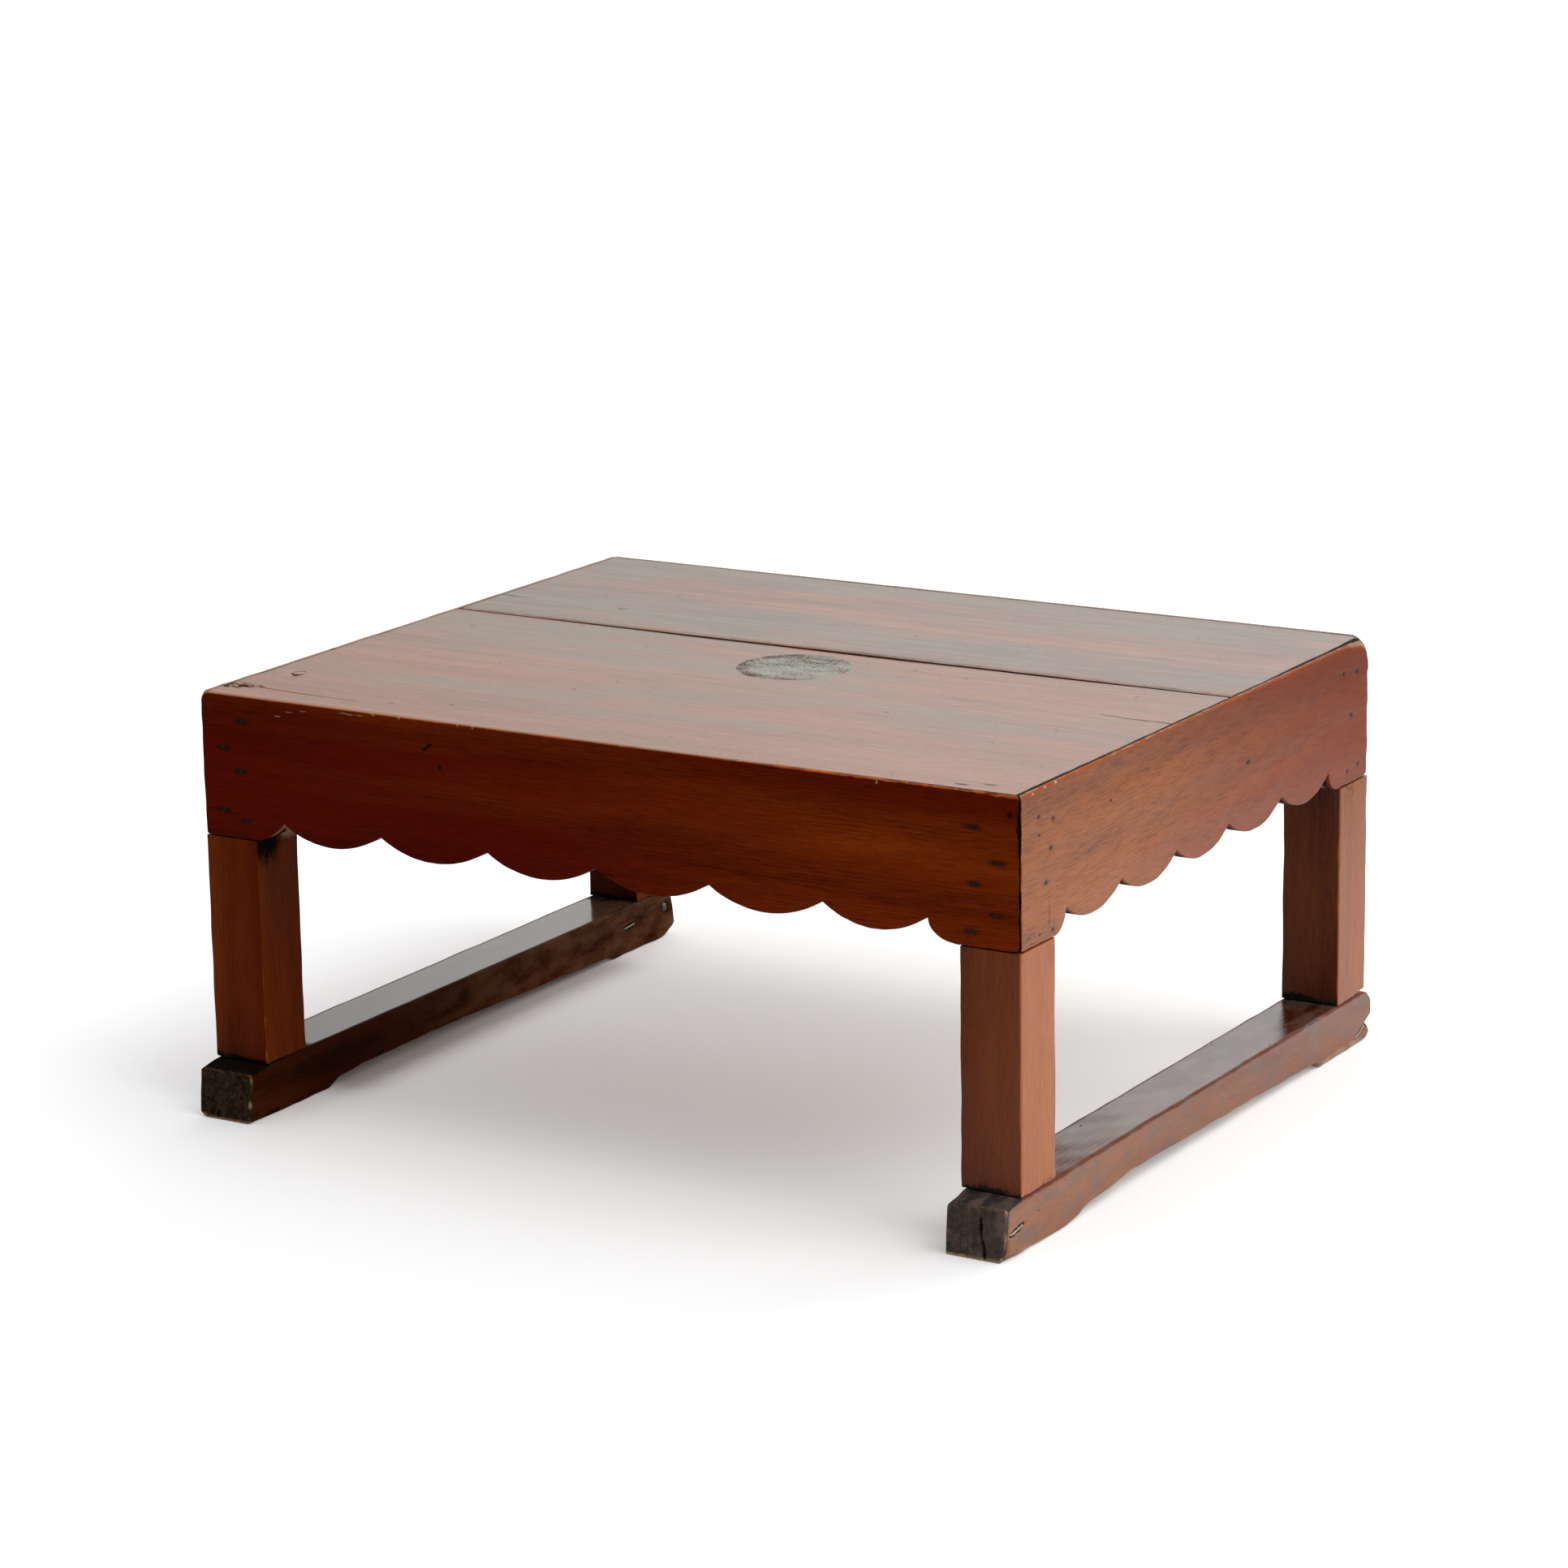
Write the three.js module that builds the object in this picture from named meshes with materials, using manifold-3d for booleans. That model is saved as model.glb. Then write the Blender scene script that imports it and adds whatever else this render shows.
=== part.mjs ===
// Low table of varnished softwood: a boarded top let into four scalloped aprons, which are mitred
// round four square legs, and the legs stand in two runners that lie on the floor front to back.
// Millimetres, +X to the right, +Y to the rear, +Z up, z = 0 on the floor.

import * as THREE from "three";
import { mergeVertices } from "three/addons/utils/BufferGeometryUtils.js";
import Module from "manifold-3d";

const wasm = await Module();
wasm.setup();

// Overall sizes, over the outside of the aprons
const tableLength = 750;
const tableDepth = 611;
const tableHeight = 351.5;

// Clearances: between pieces that sit on or in each other, and round a driven nail
const fitGap = 0.3;
const nailGap = 0.2;

// Top boards
const boardThickness = 14;
const boardGap = 1.6;
const gapFromFront = 359.5;
const plugDiameter = 12;
const plugDepth = 10;
const plugFromLeft = 31.5;
const plugFromFront = 91.5;

// Aprons: a thin lip stands round the top boards, which lie in the rebate behind it. The lower edge
// has round lobes between pointed cusps, and a quarter curve at each leg.
const apronThickness = 15;
const apronHeight = 119;
const apronArris = 2;
const lipThickness = 4;
const cuspHeight = 18.5;
const lobeLift = 3;
const lobesFront = 6;
const lobesSide = 5;
const endCurveFront = 26;
const endCurveSide = 20;
const lobeSegments = 5;

// Legs, with a stub tenon at the foot
const legWidth = 52;
const legDepth = 54;
const legArris = 2.5;
const tenonLength = 26;
const tenonShoulder = 11;

// Runners: as wide as the legs, hollowed underneath between a front and a rear foot
const runnerHeight = 44;
const runnerArris = 3;
const frontOverhang = 22;
const rearOverhang = 12;
const toeFlare = 4;
const toeRadius = 4;
const footLength = 112;
const reliefHeight = 9;
const reliefRun = 14;
const reliefRadius = 9;

// Cross battens that carry the boards between the front and rear aprons
const battenWidth = 32;
const battenHeight = 30;
const battenFromCentre = 147;

// Iron nails that hold each apron end to its leg, in two staggered columns
const nailHeadDiameter = 4.6;
const nailHeadHeight = 1.2;
const nailShankDiameter = 2.4;
const nailLength = 34;
const nailPoint = 5;
const nailsPerEnd = 5;
const nearColumn = 20.5;
const farColumn = 41;
const nailsAboveShoulder = 14;
const nailsBelowBoards = 11;
const sideNailDrop = 8.5;
const nailSides = 8;

// Iron staples driven into the runners, and one round-headed nail
const stapleLength = 26;
const staplePlate = 3;
const stapleProngs = 9;
const stapleSlope = 0.72;
const roundHeadDiameter = 9;
const roundHeadHeight = 2;
const roundHeadSides = 16;

// Where the ironwork sits: its distance inside or outside the leg's outer face, and its height
const innerStapleInset = 62.5;
const innerStapleHeight = 23;
const roundNailInset = 7.5;
const roundNailHeight = 28;
const frontStapleOutset = 6.5;
const frontStapleHeight = 22;
const rearStapleInset = 14;
const rearStapleHeight = 15;

// Heights and places worked out from the sizes above
const shoulderZ = tableHeight - apronHeight;
const boardUnderZ = tableHeight - boardThickness;
const legTopZ = boardUnderZ - fitGap;
const legFootZ = runnerHeight + fitGap;
const boardHalfLength = tableLength / 2 - lipThickness - fitGap;
const boardHalfDepth = tableDepth / 2 - lipThickness - fitGap;
const battenHalfLength = tableDepth / 2 - apronThickness - fitGap;
const gapY = gapFromFront - tableDepth / 2;

const topWood = new THREE.MeshStandardMaterial({ color: "#8a5a48", roughness: 0.38, metalness: 0 });
const sideWood = new THREE.MeshStandardMaterial({ color: "#6b2a17", roughness: 0.42, metalness: 0 });
const hiddenWood = new THREE.MeshStandardMaterial({ color: "#a98460", roughness: 0.8, metalness: 0 });
const darkIron = new THREE.MeshStandardMaterial({ color: "#2c2622", roughness: 0.65, metalness: 0.7 });

// A three.js geometry as a closed solid that can be joined and cut
function solidOf(geometry) {
  const bare = geometry.clone();
  bare.deleteAttribute("normal");
  bare.deleteAttribute("uv");
  const merged = mergeVertices(bare, 1e-4);
  return new wasm.Manifold(
    new wasm.Mesh({
      numProp: 3,
      vertProperties: merged.attributes.position.array,
      triVerts: new Uint32Array(merged.index.array),
    }),
  );
}

// The geometry of a solid, with flat shaded faces
function geometryOf(solid) {
  const mesh = solid.getMesh();
  const geometry = new THREE.BufferGeometry();
  geometry.setAttribute("position", new THREE.BufferAttribute(new Float32Array(mesh.vertProperties), 3));
  geometry.setIndex(new THREE.BufferAttribute(new Uint32Array(mesh.triVerts), 1));
  const flat = geometry.toNonIndexed();
  flat.computeVertexNormals();
  return flat;
}

function namedMesh(name, geometry, material) {
  const mesh = new THREE.Mesh(geometry, material.clone());
  mesh.name = name;
  return mesh;
}

// A box between two opposite corners, given in any order
function boxSolid(cornerA, cornerB) {
  const low = cornerA.map((value, axis) => Math.min(value, cornerB[axis]));
  const high = cornerA.map((value, axis) => Math.max(value, cornerB[axis]));
  const box = new THREE.BoxGeometry(high[0] - low[0], high[1] - low[1], high[2] - low[2]);
  box.translate((low[0] + high[0]) / 2, (low[1] + high[1]) / 2, (low[2] + high[2]) / 2);
  return solidOf(box);
}

// A closed outline through corners [u, v, radius], each corner eased over its radius
function easedOutline(corners) {
  const outline = new THREE.Shape();
  const points = corners.map(([u, v]) => new THREE.Vector2(u, v));
  corners.forEach(([, , radius], i) => {
    const corner = points[i];
    const before = points[(i + points.length - 1) % points.length];
    const after = points[(i + 1) % points.length];
    const arrive = before.clone().sub(corner).setLength(radius).add(corner);
    const leave = after.clone().sub(corner).setLength(radius).add(corner);
    if (i === 0) outline.moveTo(arrive.x, arrive.y);
    else outline.lineTo(arrive.x, arrive.y);
    if (radius > 0) outline.quadraticCurveTo(corner.x, corner.y, leave.x, leave.y);
  });
  outline.closePath();
  return outline;
}

function easedRectangle(width, height, radius) {
  const u = width / 2;
  const v = height / 2;
  return easedOutline([[-u, -v, radius], [u, -v, radius], [u, v, radius], [-u, v, radius]]);
}

// Outlines pushed along an axis: plan outlines (x, y) go up along Z, section outlines (y, z) go
// along X, and front outlines (x, z) go along -Y. A point that all but meets the next one is left out.
const shortestEdge = 0.01;
function pushed(outline, length, curveSegments) {
  const points = outline.getPoints(curveSegments);
  const kept = points.filter((point, i) => {
    const next = points[(i + 1) % points.length];
    return point.distanceTo(next) > shortestEdge;
  });
  return new THREE.ExtrudeGeometry(new THREE.Shape(kept), { depth: length, bevelEnabled: false });
}

function pushedAlongZ(outline, fromZ, toZ, curveSegments = 3) {
  return solidOf(pushed(outline, toZ - fromZ, curveSegments).translate(0, 0, fromZ));
}

function pushedAlongX(outline, fromX, toX, curveSegments = 3) {
  const turn = new THREE.Matrix4().makeBasis(
    new THREE.Vector3(0, 1, 0),
    new THREE.Vector3(0, 0, 1),
    new THREE.Vector3(1, 0, 0),
  );
  return solidOf(pushed(outline, toX - fromX, curveSegments).applyMatrix4(turn).translate(fromX, 0, 0));
}

function pushedAlongY(outline, fromY, toY, curveSegments = 3) {
  const turn = new THREE.Matrix4().makeBasis(
    new THREE.Vector3(1, 0, 0),
    new THREE.Vector3(0, 0, 1),
    new THREE.Vector3(0, -1, 0),
  );
  return solidOf(pushed(outline, toY - fromY, curveSegments).applyMatrix4(turn).translate(0, toY, 0));
}

// Apron outline seen from outside, z = 0 on the leg shoulders: a quarter ellipse rises from each
// leg to a cusp, and equal round lobes hang between the cusps
function apronOutline(length, legFace, endCurve, lobes) {
  const cuspX = length / 2 - legFace - endCurve;
  const lobeWidth = (2 * cuspX) / lobes;
  const sag = cuspHeight - lobeLift;
  const radius = (lobeWidth ** 2 / 4 + sag ** 2) / (2 * sag);
  const halfAngle = Math.asin(lobeWidth / 2 / radius);
  const outline = new THREE.Shape();
  outline.moveTo(-length / 2, 0);
  outline.lineTo(-cuspX - endCurve, 0);
  outline.absellipse(-cuspX - endCurve, cuspHeight, endCurve, cuspHeight, -Math.PI / 2, 0, false);
  for (let i = 0; i < lobes; i += 1) {
    const lobeX = -cuspX + lobeWidth * (i + 0.5);
    const down = -Math.PI / 2;
    outline.absarc(lobeX, lobeLift + radius, radius, down - halfAngle, down + halfAngle, false);
  }
  outline.absellipse(cuspX + endCurve, cuspHeight, endCurve, cuspHeight, Math.PI, 1.5 * Math.PI, false);
  outline.lineTo(length / 2, 0);
  outline.lineTo(length / 2, apronHeight);
  outline.lineTo(-length / 2, apronHeight);
  outline.closePath();
  return outline;
}

// An apron in its own frame: outer face on y = 0 looking along -Y, ends mitred at 45 degrees, and
// the rebate for the top boards behind the lip
function apronSolid(length, legFace, endCurve, lobes) {
  const t = apronThickness;
  const mitreGap = (fitGap / 2) * Math.SQRT2;
  const half = length / 2 - mitreGap;
  const rebateHeight = apronHeight - boardThickness - fitGap;
  const plan = easedOutline([[-half, 0, 0], [half, 0, 0], [half - t, t, 0], [-half + t, t, 0]]);
  const section = easedOutline([
    [0, 0, 0],
    [t, 0, 0],
    [t, rebateHeight, 0],
    [lipThickness, rebateHeight, 0],
    [lipThickness, apronHeight, 0],
    [0, apronHeight, apronArris],
  ]);
  return pushedAlongY(apronOutline(length, legFace, endCurve, lobes), 0, t, lobeSegments)
    .intersect(pushedAlongZ(plan, -1, apronHeight + 1))
    .intersect(pushedAlongX(section, -length, length, 4));
}

// A nail along +Y with its head at y = 0. The grown nail is the hole that it leaves.
function nailGeometry(headDiameter, headHeight, sides, grow = 0) {
  const head = headDiameter / 2 + grow;
  const shank = nailShankDiameter / 2 + grow;
  const neckY = headHeight + grow;
  const profile = [
    new THREE.Vector2(0, -grow),
    new THREE.Vector2(head, -grow),
    new THREE.Vector2(head, neckY),
    new THREE.Vector2(shank, neckY),
    new THREE.Vector2(shank, nailLength - nailPoint + grow),
    new THREE.Vector2(0, nailLength + grow),
  ];
  return new THREE.LatheGeometry(profile, sides);
}

// Where the nails of one apron stand, in the apron's frame
function nailPlaces(length, drop) {
  const low = nailsAboveShoulder;
  const pitch = (legTopZ - shoulderZ - nailsBelowBoards - low) / (nailsPerEnd - 1);
  const places = [];
  for (const end of [-1, 1]) {
    for (let row = 0; row < nailsPerEnd; row += 1) {
      const inset = row % 2 === 0 ? farColumn : nearColumn;
      places.push({ end, row, x: end * (length / 2 - inset), z: low + pitch * row - drop });
    }
  }
  return places;
}

const table = new THREE.Group();

// Four sides: each a group with its apron and the nails in it, turned to look outwards
const sides = [
  { name: "front", turn: 0, endNames: ["left", "right"] },
  { name: "right", turn: Math.PI / 2, endNames: ["front", "rear"] },
  { name: "rear", turn: Math.PI, endNames: ["right", "left"] },
  { name: "left", turn: -Math.PI / 2, endNames: ["rear", "front"] },
];
const nailHoles = [];
for (const side of sides) {
  const isLong = side.name === "front" || side.name === "rear";
  const length = isLong ? tableLength : tableDepth;
  const outward = (isLong ? tableDepth : tableLength) / 2;
  const group = new THREE.Group();
  group.rotation.z = side.turn;
  group.position.set(Math.sin(side.turn) * outward, -Math.cos(side.turn) * outward, shoulderZ);
  group.updateMatrix();

  let apron = isLong
    ? apronSolid(length, legWidth, endCurveFront, lobesFront)
    : apronSolid(length, legDepth, endCurveSide, lobesSide);
  for (const place of nailPlaces(length, isLong ? 0 : sideNailDrop)) {
    const hole = nailGeometry(nailHeadDiameter, nailHeadHeight, nailSides, nailGap);
    hole.translate(place.x, 0, place.z);
    apron = apron.subtract(solidOf(hole));
    nailHoles.push(hole.clone().applyMatrix4(group.matrix));

    const endName = side.endNames[place.end < 0 ? 0 : 1];
    const nail = namedMesh(
      `nail_${side.name}_apron_${endName}_${place.row + 1}`,
      nailGeometry(nailHeadDiameter, nailHeadHeight, nailSides),
      darkIron,
    );
    nail.position.set(place.x, 0, place.z);
    group.add(nail);
  }
  group.add(namedMesh(`${side.name}_apron`, geometryOf(apron), sideWood));
  table.add(group);
}

// Four legs: full section up to the shoulder, rebated on both outer faces above it for the aprons
for (const [xName, xSign] of [["left", -1], ["right", 1]]) {
  for (const [yName, ySign] of [["front", -1], ["rear", 1]]) {
    const centreX = xSign * (tableLength / 2 - legWidth / 2);
    const centreY = ySign * (tableDepth / 2 - legDepth / 2);
    const faceX = (xSign * legWidth) / 2;
    const faceY = (ySign * legDepth) / 2;
    const rebate = apronThickness + fitGap;
    const rebateFoot = shoulderZ - fitGap;
    const past = 1.5;
    let leg = pushedAlongZ(easedRectangle(legWidth, legDepth, legArris), legFootZ, legTopZ);
    const outerCorner = [faceX * past, faceY * past, rebateFoot];
    leg = leg
      .subtract(boxSolid(outerCorner, [-faceX * past, faceY - ySign * rebate, tableHeight]))
      .subtract(boxSolid(outerCorner, [faceX - xSign * rebate, -faceY * past, tableHeight]));
    const tenonX = legWidth / 2 - tenonShoulder;
    const tenonY = legDepth / 2 - tenonShoulder;
    leg = leg.add(
      boxSolid([-tenonX, -tenonY, legFootZ - tenonLength], [tenonX, tenonY, legFootZ + tenonLength]),
    );
    for (const hole of nailHoles) {
      leg = leg.subtract(solidOf(hole.clone().translate(-centreX, -centreY, 0)));
    }
    const mesh = namedMesh(`leg_${yName}_${xName}`, geometryOf(leg), sideWood);
    mesh.position.set(centreX, centreY, 0);
    table.add(mesh);
  }
}

// A staple: a flat plate along Y with a prong at each end that goes into the wood along -X.
// The plate's outer face is on x = 0.
function stapleGeometry(grow = 0) {
  const halfPlate = stapleLength / 2 + grow;
  const inner = stapleLength / 2 - staplePlate - grow;
  const back = -staplePlate - grow;
  const tip = -stapleProngs - grow;
  const outline = new THREE.Shape();
  outline.moveTo(grow, -halfPlate);
  outline.lineTo(grow, halfPlate);
  outline.lineTo(tip, halfPlate);
  outline.lineTo(tip, inner);
  outline.lineTo(back, inner);
  outline.lineTo(back, -inner);
  outline.lineTo(tip, -inner);
  outline.lineTo(tip, -halfPlate);
  outline.closePath();
  const thick = staplePlate + 2 * grow;
  return pushed(outline, thick, 1).translate(0, 0, -thick / 2);
}

// Ironwork on the runners' faces that look along +X, with its place along the runner. end is 1 at
// the rear leg and -1 at the front leg.
const ironOnRunners = {
  left: [
    {
      name: "staple_left_runner_inner",
      kind: "staple",
      end: 1,
      beyondLeg: -innerStapleInset,
      z: innerStapleHeight,
    },
    {
      name: "round_nail_left_runner",
      kind: "nail",
      end: 1,
      beyondLeg: -roundNailInset,
      z: roundNailHeight,
    },
  ],
  right: [
    {
      name: "staple_right_runner_front",
      kind: "staple",
      end: -1,
      beyondLeg: frontStapleOutset,
      z: frontStapleHeight,
    },
    {
      name: "staple_right_runner_rear",
      kind: "staple",
      end: 1,
      beyondLeg: -rearStapleInset,
      z: rearStapleHeight,
    },
  ],
};

// Two runners: the side outline is pushed across, its long edges eased, then mortised for the legs
for (const [xName, xSign] of [["left", -1], ["right", 1]]) {
  const frontY = -tableDepth / 2 - frontOverhang;
  const rearY = tableDepth / 2 + rearOverhang;
  const frontFootY = frontY - toeFlare + footLength;
  const rearFootY = rearY + toeFlare - footLength;
  const outline = easedOutline([
    [frontY - toeFlare, 0, toeRadius],
    [frontFootY, 0, toeRadius / 2],
    [frontFootY + reliefRun, reliefHeight, reliefRadius],
    [rearFootY - reliefRun, reliefHeight, reliefRadius],
    [rearFootY, 0, toeRadius / 2],
    [rearY + toeFlare, 0, toeRadius],
    [rearY, runnerHeight, toeRadius],
    [frontY, runnerHeight, toeRadius],
  ]);
  const section = easedRectangle(legWidth, runnerHeight, runnerArris);
  const eased = pushedAlongY(section, frontY - 2 * toeFlare, rearY + 2 * toeFlare);
  let runner = pushedAlongX(outline, -legWidth / 2, legWidth / 2)
    .intersect(eased.translate([0, 0, runnerHeight / 2]));
  for (const ySign of [-1, 1]) {
    const mortiseX = legWidth / 2 - tenonShoulder + fitGap;
    const mortiseY = legDepth / 2 - tenonShoulder + fitGap;
    const centreY = ySign * (tableDepth / 2 - legDepth / 2);
    runner = runner.subtract(
      boxSolid(
        [-mortiseX, centreY - mortiseY, legFootZ - tenonLength - fitGap],
        [mortiseX, centreY + mortiseY, runnerHeight + tenonLength],
      ),
    );
  }

  const group = new THREE.Group();
  group.position.x = xSign * (tableLength / 2 - legWidth / 2);
  for (const iron of ironOnRunners[xName]) {
    const place = new THREE.Matrix4();
    const along = iron.end * (tableDepth / 2 + iron.beyondLeg);
    const isStaple = iron.kind === "staple";
    const turn = isStaple ? -stapleSlope : Math.PI / 2;
    const axis = isStaple ? new THREE.Vector3(1, 0, 0) : new THREE.Vector3(0, 0, 1);
    place.makeRotationAxis(axis, turn).setPosition(legWidth / 2, along, iron.z);
    const shape = (grow) =>
      isStaple
        ? stapleGeometry(grow)
        : nailGeometry(roundHeadDiameter, roundHeadHeight, roundHeadSides, grow);
    runner = runner.subtract(solidOf(shape(nailGap).applyMatrix4(place)));
    const mesh = namedMesh(iron.name, shape(0), darkIron);
    mesh.applyMatrix4(place);
    group.add(mesh);
  }
  group.add(namedMesh(`runner_${xName}`, geometryOf(runner), sideWood));
  table.add(group);
}

// Top boards, laid in the rebates of the aprons, on the leg tops and on the battens. Their tops are
// flush with the lips.
const plugX = plugFromLeft - tableLength / 2;
const plugY = plugFromFront - tableDepth / 2;
const plugSides = 24;
function plugGeometry(grow) {
  const radius = plugDiameter / 2 + grow;
  const plug = new THREE.CylinderGeometry(radius, radius, plugDepth + grow, plugSides);
  return plug.rotateX(Math.PI / 2).translate(plugX, plugY, tableHeight - (plugDepth - grow) / 2);
}
const plugHole = plugGeometry(fitGap / 2);
const frontBoard = boxSolid(
  [-boardHalfLength, -boardHalfDepth, boardUnderZ],
  [boardHalfLength, gapY - boardGap / 2, tableHeight],
).subtract(solidOf(plugHole));
const rearBoard = boxSolid(
  [-boardHalfLength, gapY + boardGap / 2, boardUnderZ],
  [boardHalfLength, boardHalfDepth, tableHeight],
);
table.add(namedMesh("top_board_front", geometryOf(frontBoard), topWood));
table.add(namedMesh("top_board_rear", geometryOf(rearBoard), topWood));
table.add(namedMesh("top_plug", plugGeometry(0), topWood));

// Two battens under the boards, from the front apron to the rear apron
for (const [xName, xSign] of [["left", -1], ["right", 1]]) {
  const batten = new THREE.BoxGeometry(battenWidth, 2 * battenHalfLength, battenHeight);
  const mesh = namedMesh(`batten_${xName}`, batten, hiddenWood);
  mesh.position.set(xSign * battenFromCentre, 0, boardUnderZ - fitGap - battenHeight / 2);
  table.add(mesh);
}

// The runners reach further to the front than to the rear: the middle of the whole is at y = 0
table.position.y = (frontOverhang - rearOverhang) / 2;

export default table;
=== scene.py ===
# Low table of old varnished softwood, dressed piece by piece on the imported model. Metres, +Z up.

import math

import bpy
import numpy as np
from mathutils import Euler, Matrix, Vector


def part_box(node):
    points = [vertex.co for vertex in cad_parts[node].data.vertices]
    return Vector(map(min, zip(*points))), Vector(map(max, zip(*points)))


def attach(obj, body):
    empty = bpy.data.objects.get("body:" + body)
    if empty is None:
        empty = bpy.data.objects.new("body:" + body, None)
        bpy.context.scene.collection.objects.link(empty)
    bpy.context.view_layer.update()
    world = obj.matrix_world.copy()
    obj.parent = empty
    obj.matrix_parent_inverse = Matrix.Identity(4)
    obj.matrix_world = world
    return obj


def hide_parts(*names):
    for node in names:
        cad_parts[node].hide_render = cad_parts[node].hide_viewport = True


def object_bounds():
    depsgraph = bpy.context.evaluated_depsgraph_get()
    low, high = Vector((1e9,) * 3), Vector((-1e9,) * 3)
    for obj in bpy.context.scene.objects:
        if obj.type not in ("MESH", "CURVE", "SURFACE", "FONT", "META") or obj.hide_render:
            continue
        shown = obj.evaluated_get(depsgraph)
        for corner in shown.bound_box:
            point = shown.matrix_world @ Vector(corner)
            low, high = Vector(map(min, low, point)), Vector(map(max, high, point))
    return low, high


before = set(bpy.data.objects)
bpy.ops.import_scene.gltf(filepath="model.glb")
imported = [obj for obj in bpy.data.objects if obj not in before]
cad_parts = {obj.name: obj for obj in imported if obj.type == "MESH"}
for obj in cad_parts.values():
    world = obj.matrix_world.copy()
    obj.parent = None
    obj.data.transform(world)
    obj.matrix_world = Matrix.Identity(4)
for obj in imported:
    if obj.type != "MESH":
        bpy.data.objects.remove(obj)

cad_box = [list(corner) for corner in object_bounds()]


# Runners
# Two softwood bars on the floor, one under each pair of legs, with a pocket for each leg's tenon.
# The underside is cut away between a front and a rear foot. The end grain is nearly black with
# age, the varnish on the edges has gone orange, and the rear ends are broken and rounded.

def places(low, high, step, near=(), marks=(), also=()):
    """Grid places from low to high, about step apart, with closer ones at the near distances on
    both sides of each mark, and at the places in also."""
    even = np.linspace(low, high, max(2, round((high - low) / step) + 1))
    extra = np.array(also, float)
    if len(marks):
        away = np.concatenate([[0.0], near, -np.asarray(near)])
        even = even[np.abs(even[:, None] - np.asarray(marks)).min(axis=1) > max(near) + step / 4]
        extra = np.concatenate([extra, (np.asarray(marks)[:, None] + away).ravel()])
    every = np.unique(np.concatenate([even, extra]).round(6))
    return np.concatenate([[low], every[(every > low + 5e-6) & (every < high - 5e-6)], [high]])


def block(xs, ys, zs):
    """The closed skin of a block: each of its six faces is a grid on the given places, and faces
    share the points on their common edges. Returns the points, and quads that look outwards."""
    counts = (len(xs), len(ys), len(zs))
    i, j, k = np.indices(counts)
    skin = (i % (counts[0] - 1) == 0) | (j % (counts[1] - 1) == 0) | (k % (counts[2] - 1) == 0)
    number = (np.cumsum(skin) - 1).reshape(counts)
    points = np.stack([xs[i[skin]], ys[j[skin]], zs[k[skin]]], axis=1)
    faces = []
    for axis in range(3):
        for end in (0, -1):
            sheet = np.take(number, end, axis=axis)
            if (end == 0) != (axis == 1):
                sheet = sheet.T
            ring = [sheet[:-1, :-1], sheet[1:, :-1], sheet[1:, 1:], sheet[:-1, 1:]]
            faces.append(np.stack(ring, axis=-1).reshape(-1, 4))
    return points, np.concatenate(faces)


def eased(points, low, high, radius):
    """Rounds the edges and corners of a block. Each point is drawn onto the block that is radius
    smaller all round, then pushed out again towards where it was, by its largest step along X, Y
    or Z. The radius may differ from point to point."""
    radius = np.broadcast_to(radius, len(points))[:, None]
    inner = np.clip(points, low + radius, high - radius)
    out = points - inner
    length = np.maximum(np.linalg.norm(out, axis=1, keepdims=True), 1e-9)
    return inner + out * np.abs(out).max(axis=1, keepdims=True) / length


def ripple(points, length, seed, waves=14):
    """Smooth unevenness, mostly from -1 to 1: the sum of sine waves of about the given length, or
    lengths along X, Y and Z, that run in seeded directions."""
    random = np.random.default_rng(seed)
    turns = random.normal(size=(waves, 3)) * (2 * np.pi / np.broadcast_to(length, 3)) / 1.7
    return np.sin(points @ turns.T + random.uniform(0, 2 * np.pi, waves)).sum(axis=1) / waves**0.5


def hill(distance, width):
    """A soft hill: 1 at distance 0, falling to about a third at the width."""
    return np.exp(-((distance / width) ** 2))


def rise(value, start, end):
    """0 below start, 1 above end, and a smooth rise between them. Start may be above end."""
    share = np.clip((value - start) / (end - start), 0, 1)
    return share * share * (3 - 2 * share)


def piece(name, points, quads, material, slot, nodes, **marks):
    """Makes a closed mesh piece of the table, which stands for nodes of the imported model, and
    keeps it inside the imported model's box. Marks are numbers per point that the material reads."""
    mesh = bpy.data.meshes.new(name)
    mesh.from_pydata(np.clip(points, *cad_box), [], quads)
    for mark, values in marks.items():
        mesh.attributes.new(mark, "FLOAT", "POINT").data.foreach_set("value", np.float32(values))
    mesh.shade_smooth()
    mesh.set_sharp_from_angle(angle=math.radians(42))
    mesh.materials.append(material)
    made = bpy.data.objects.new(name, mesh)
    bpy.context.scene.collection.objects.link(made)
    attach(made, "root")
    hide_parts(*nodes)
    return made


def add(tree, kind, inputs=None, **settings):
    """Adds a shader node, sets its properties, and links or sets its inputs by name or number."""
    node = tree.nodes.new(kind)
    for name, value in settings.items():
        setattr(node, name, value)
    for key, value in (inputs or {}).items():
        if isinstance(value, bpy.types.NodeSocket):
            tree.links.new(value, node.inputs[key])
        elif node.inputs[key].type == "RGBA":
            node.inputs[key].default_value = (*value[:3], 1.0)
        else:
            node.inputs[key].default_value = value
    return node


def sums(tree, operation, a, b=0.0, c=0.0, clamp=False):
    """One Math node: a, b and c are numbers or sockets."""
    node = add(tree, "ShaderNodeMath", {0: a, 1: b, 2: c}, operation=operation, use_clamp=clamp)
    return node.outputs[0]


def noise(tree, vector, scale, detail=4.0, roughness=0.55):
    """Noise of the given scale on a vector, from 0 to 1."""
    inputs = {"Vector": vector, "Scale": scale, "Detail": detail, "Roughness": roughness}
    return add(tree, "ShaderNodeTexNoise", inputs).outputs["Fac"]


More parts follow.
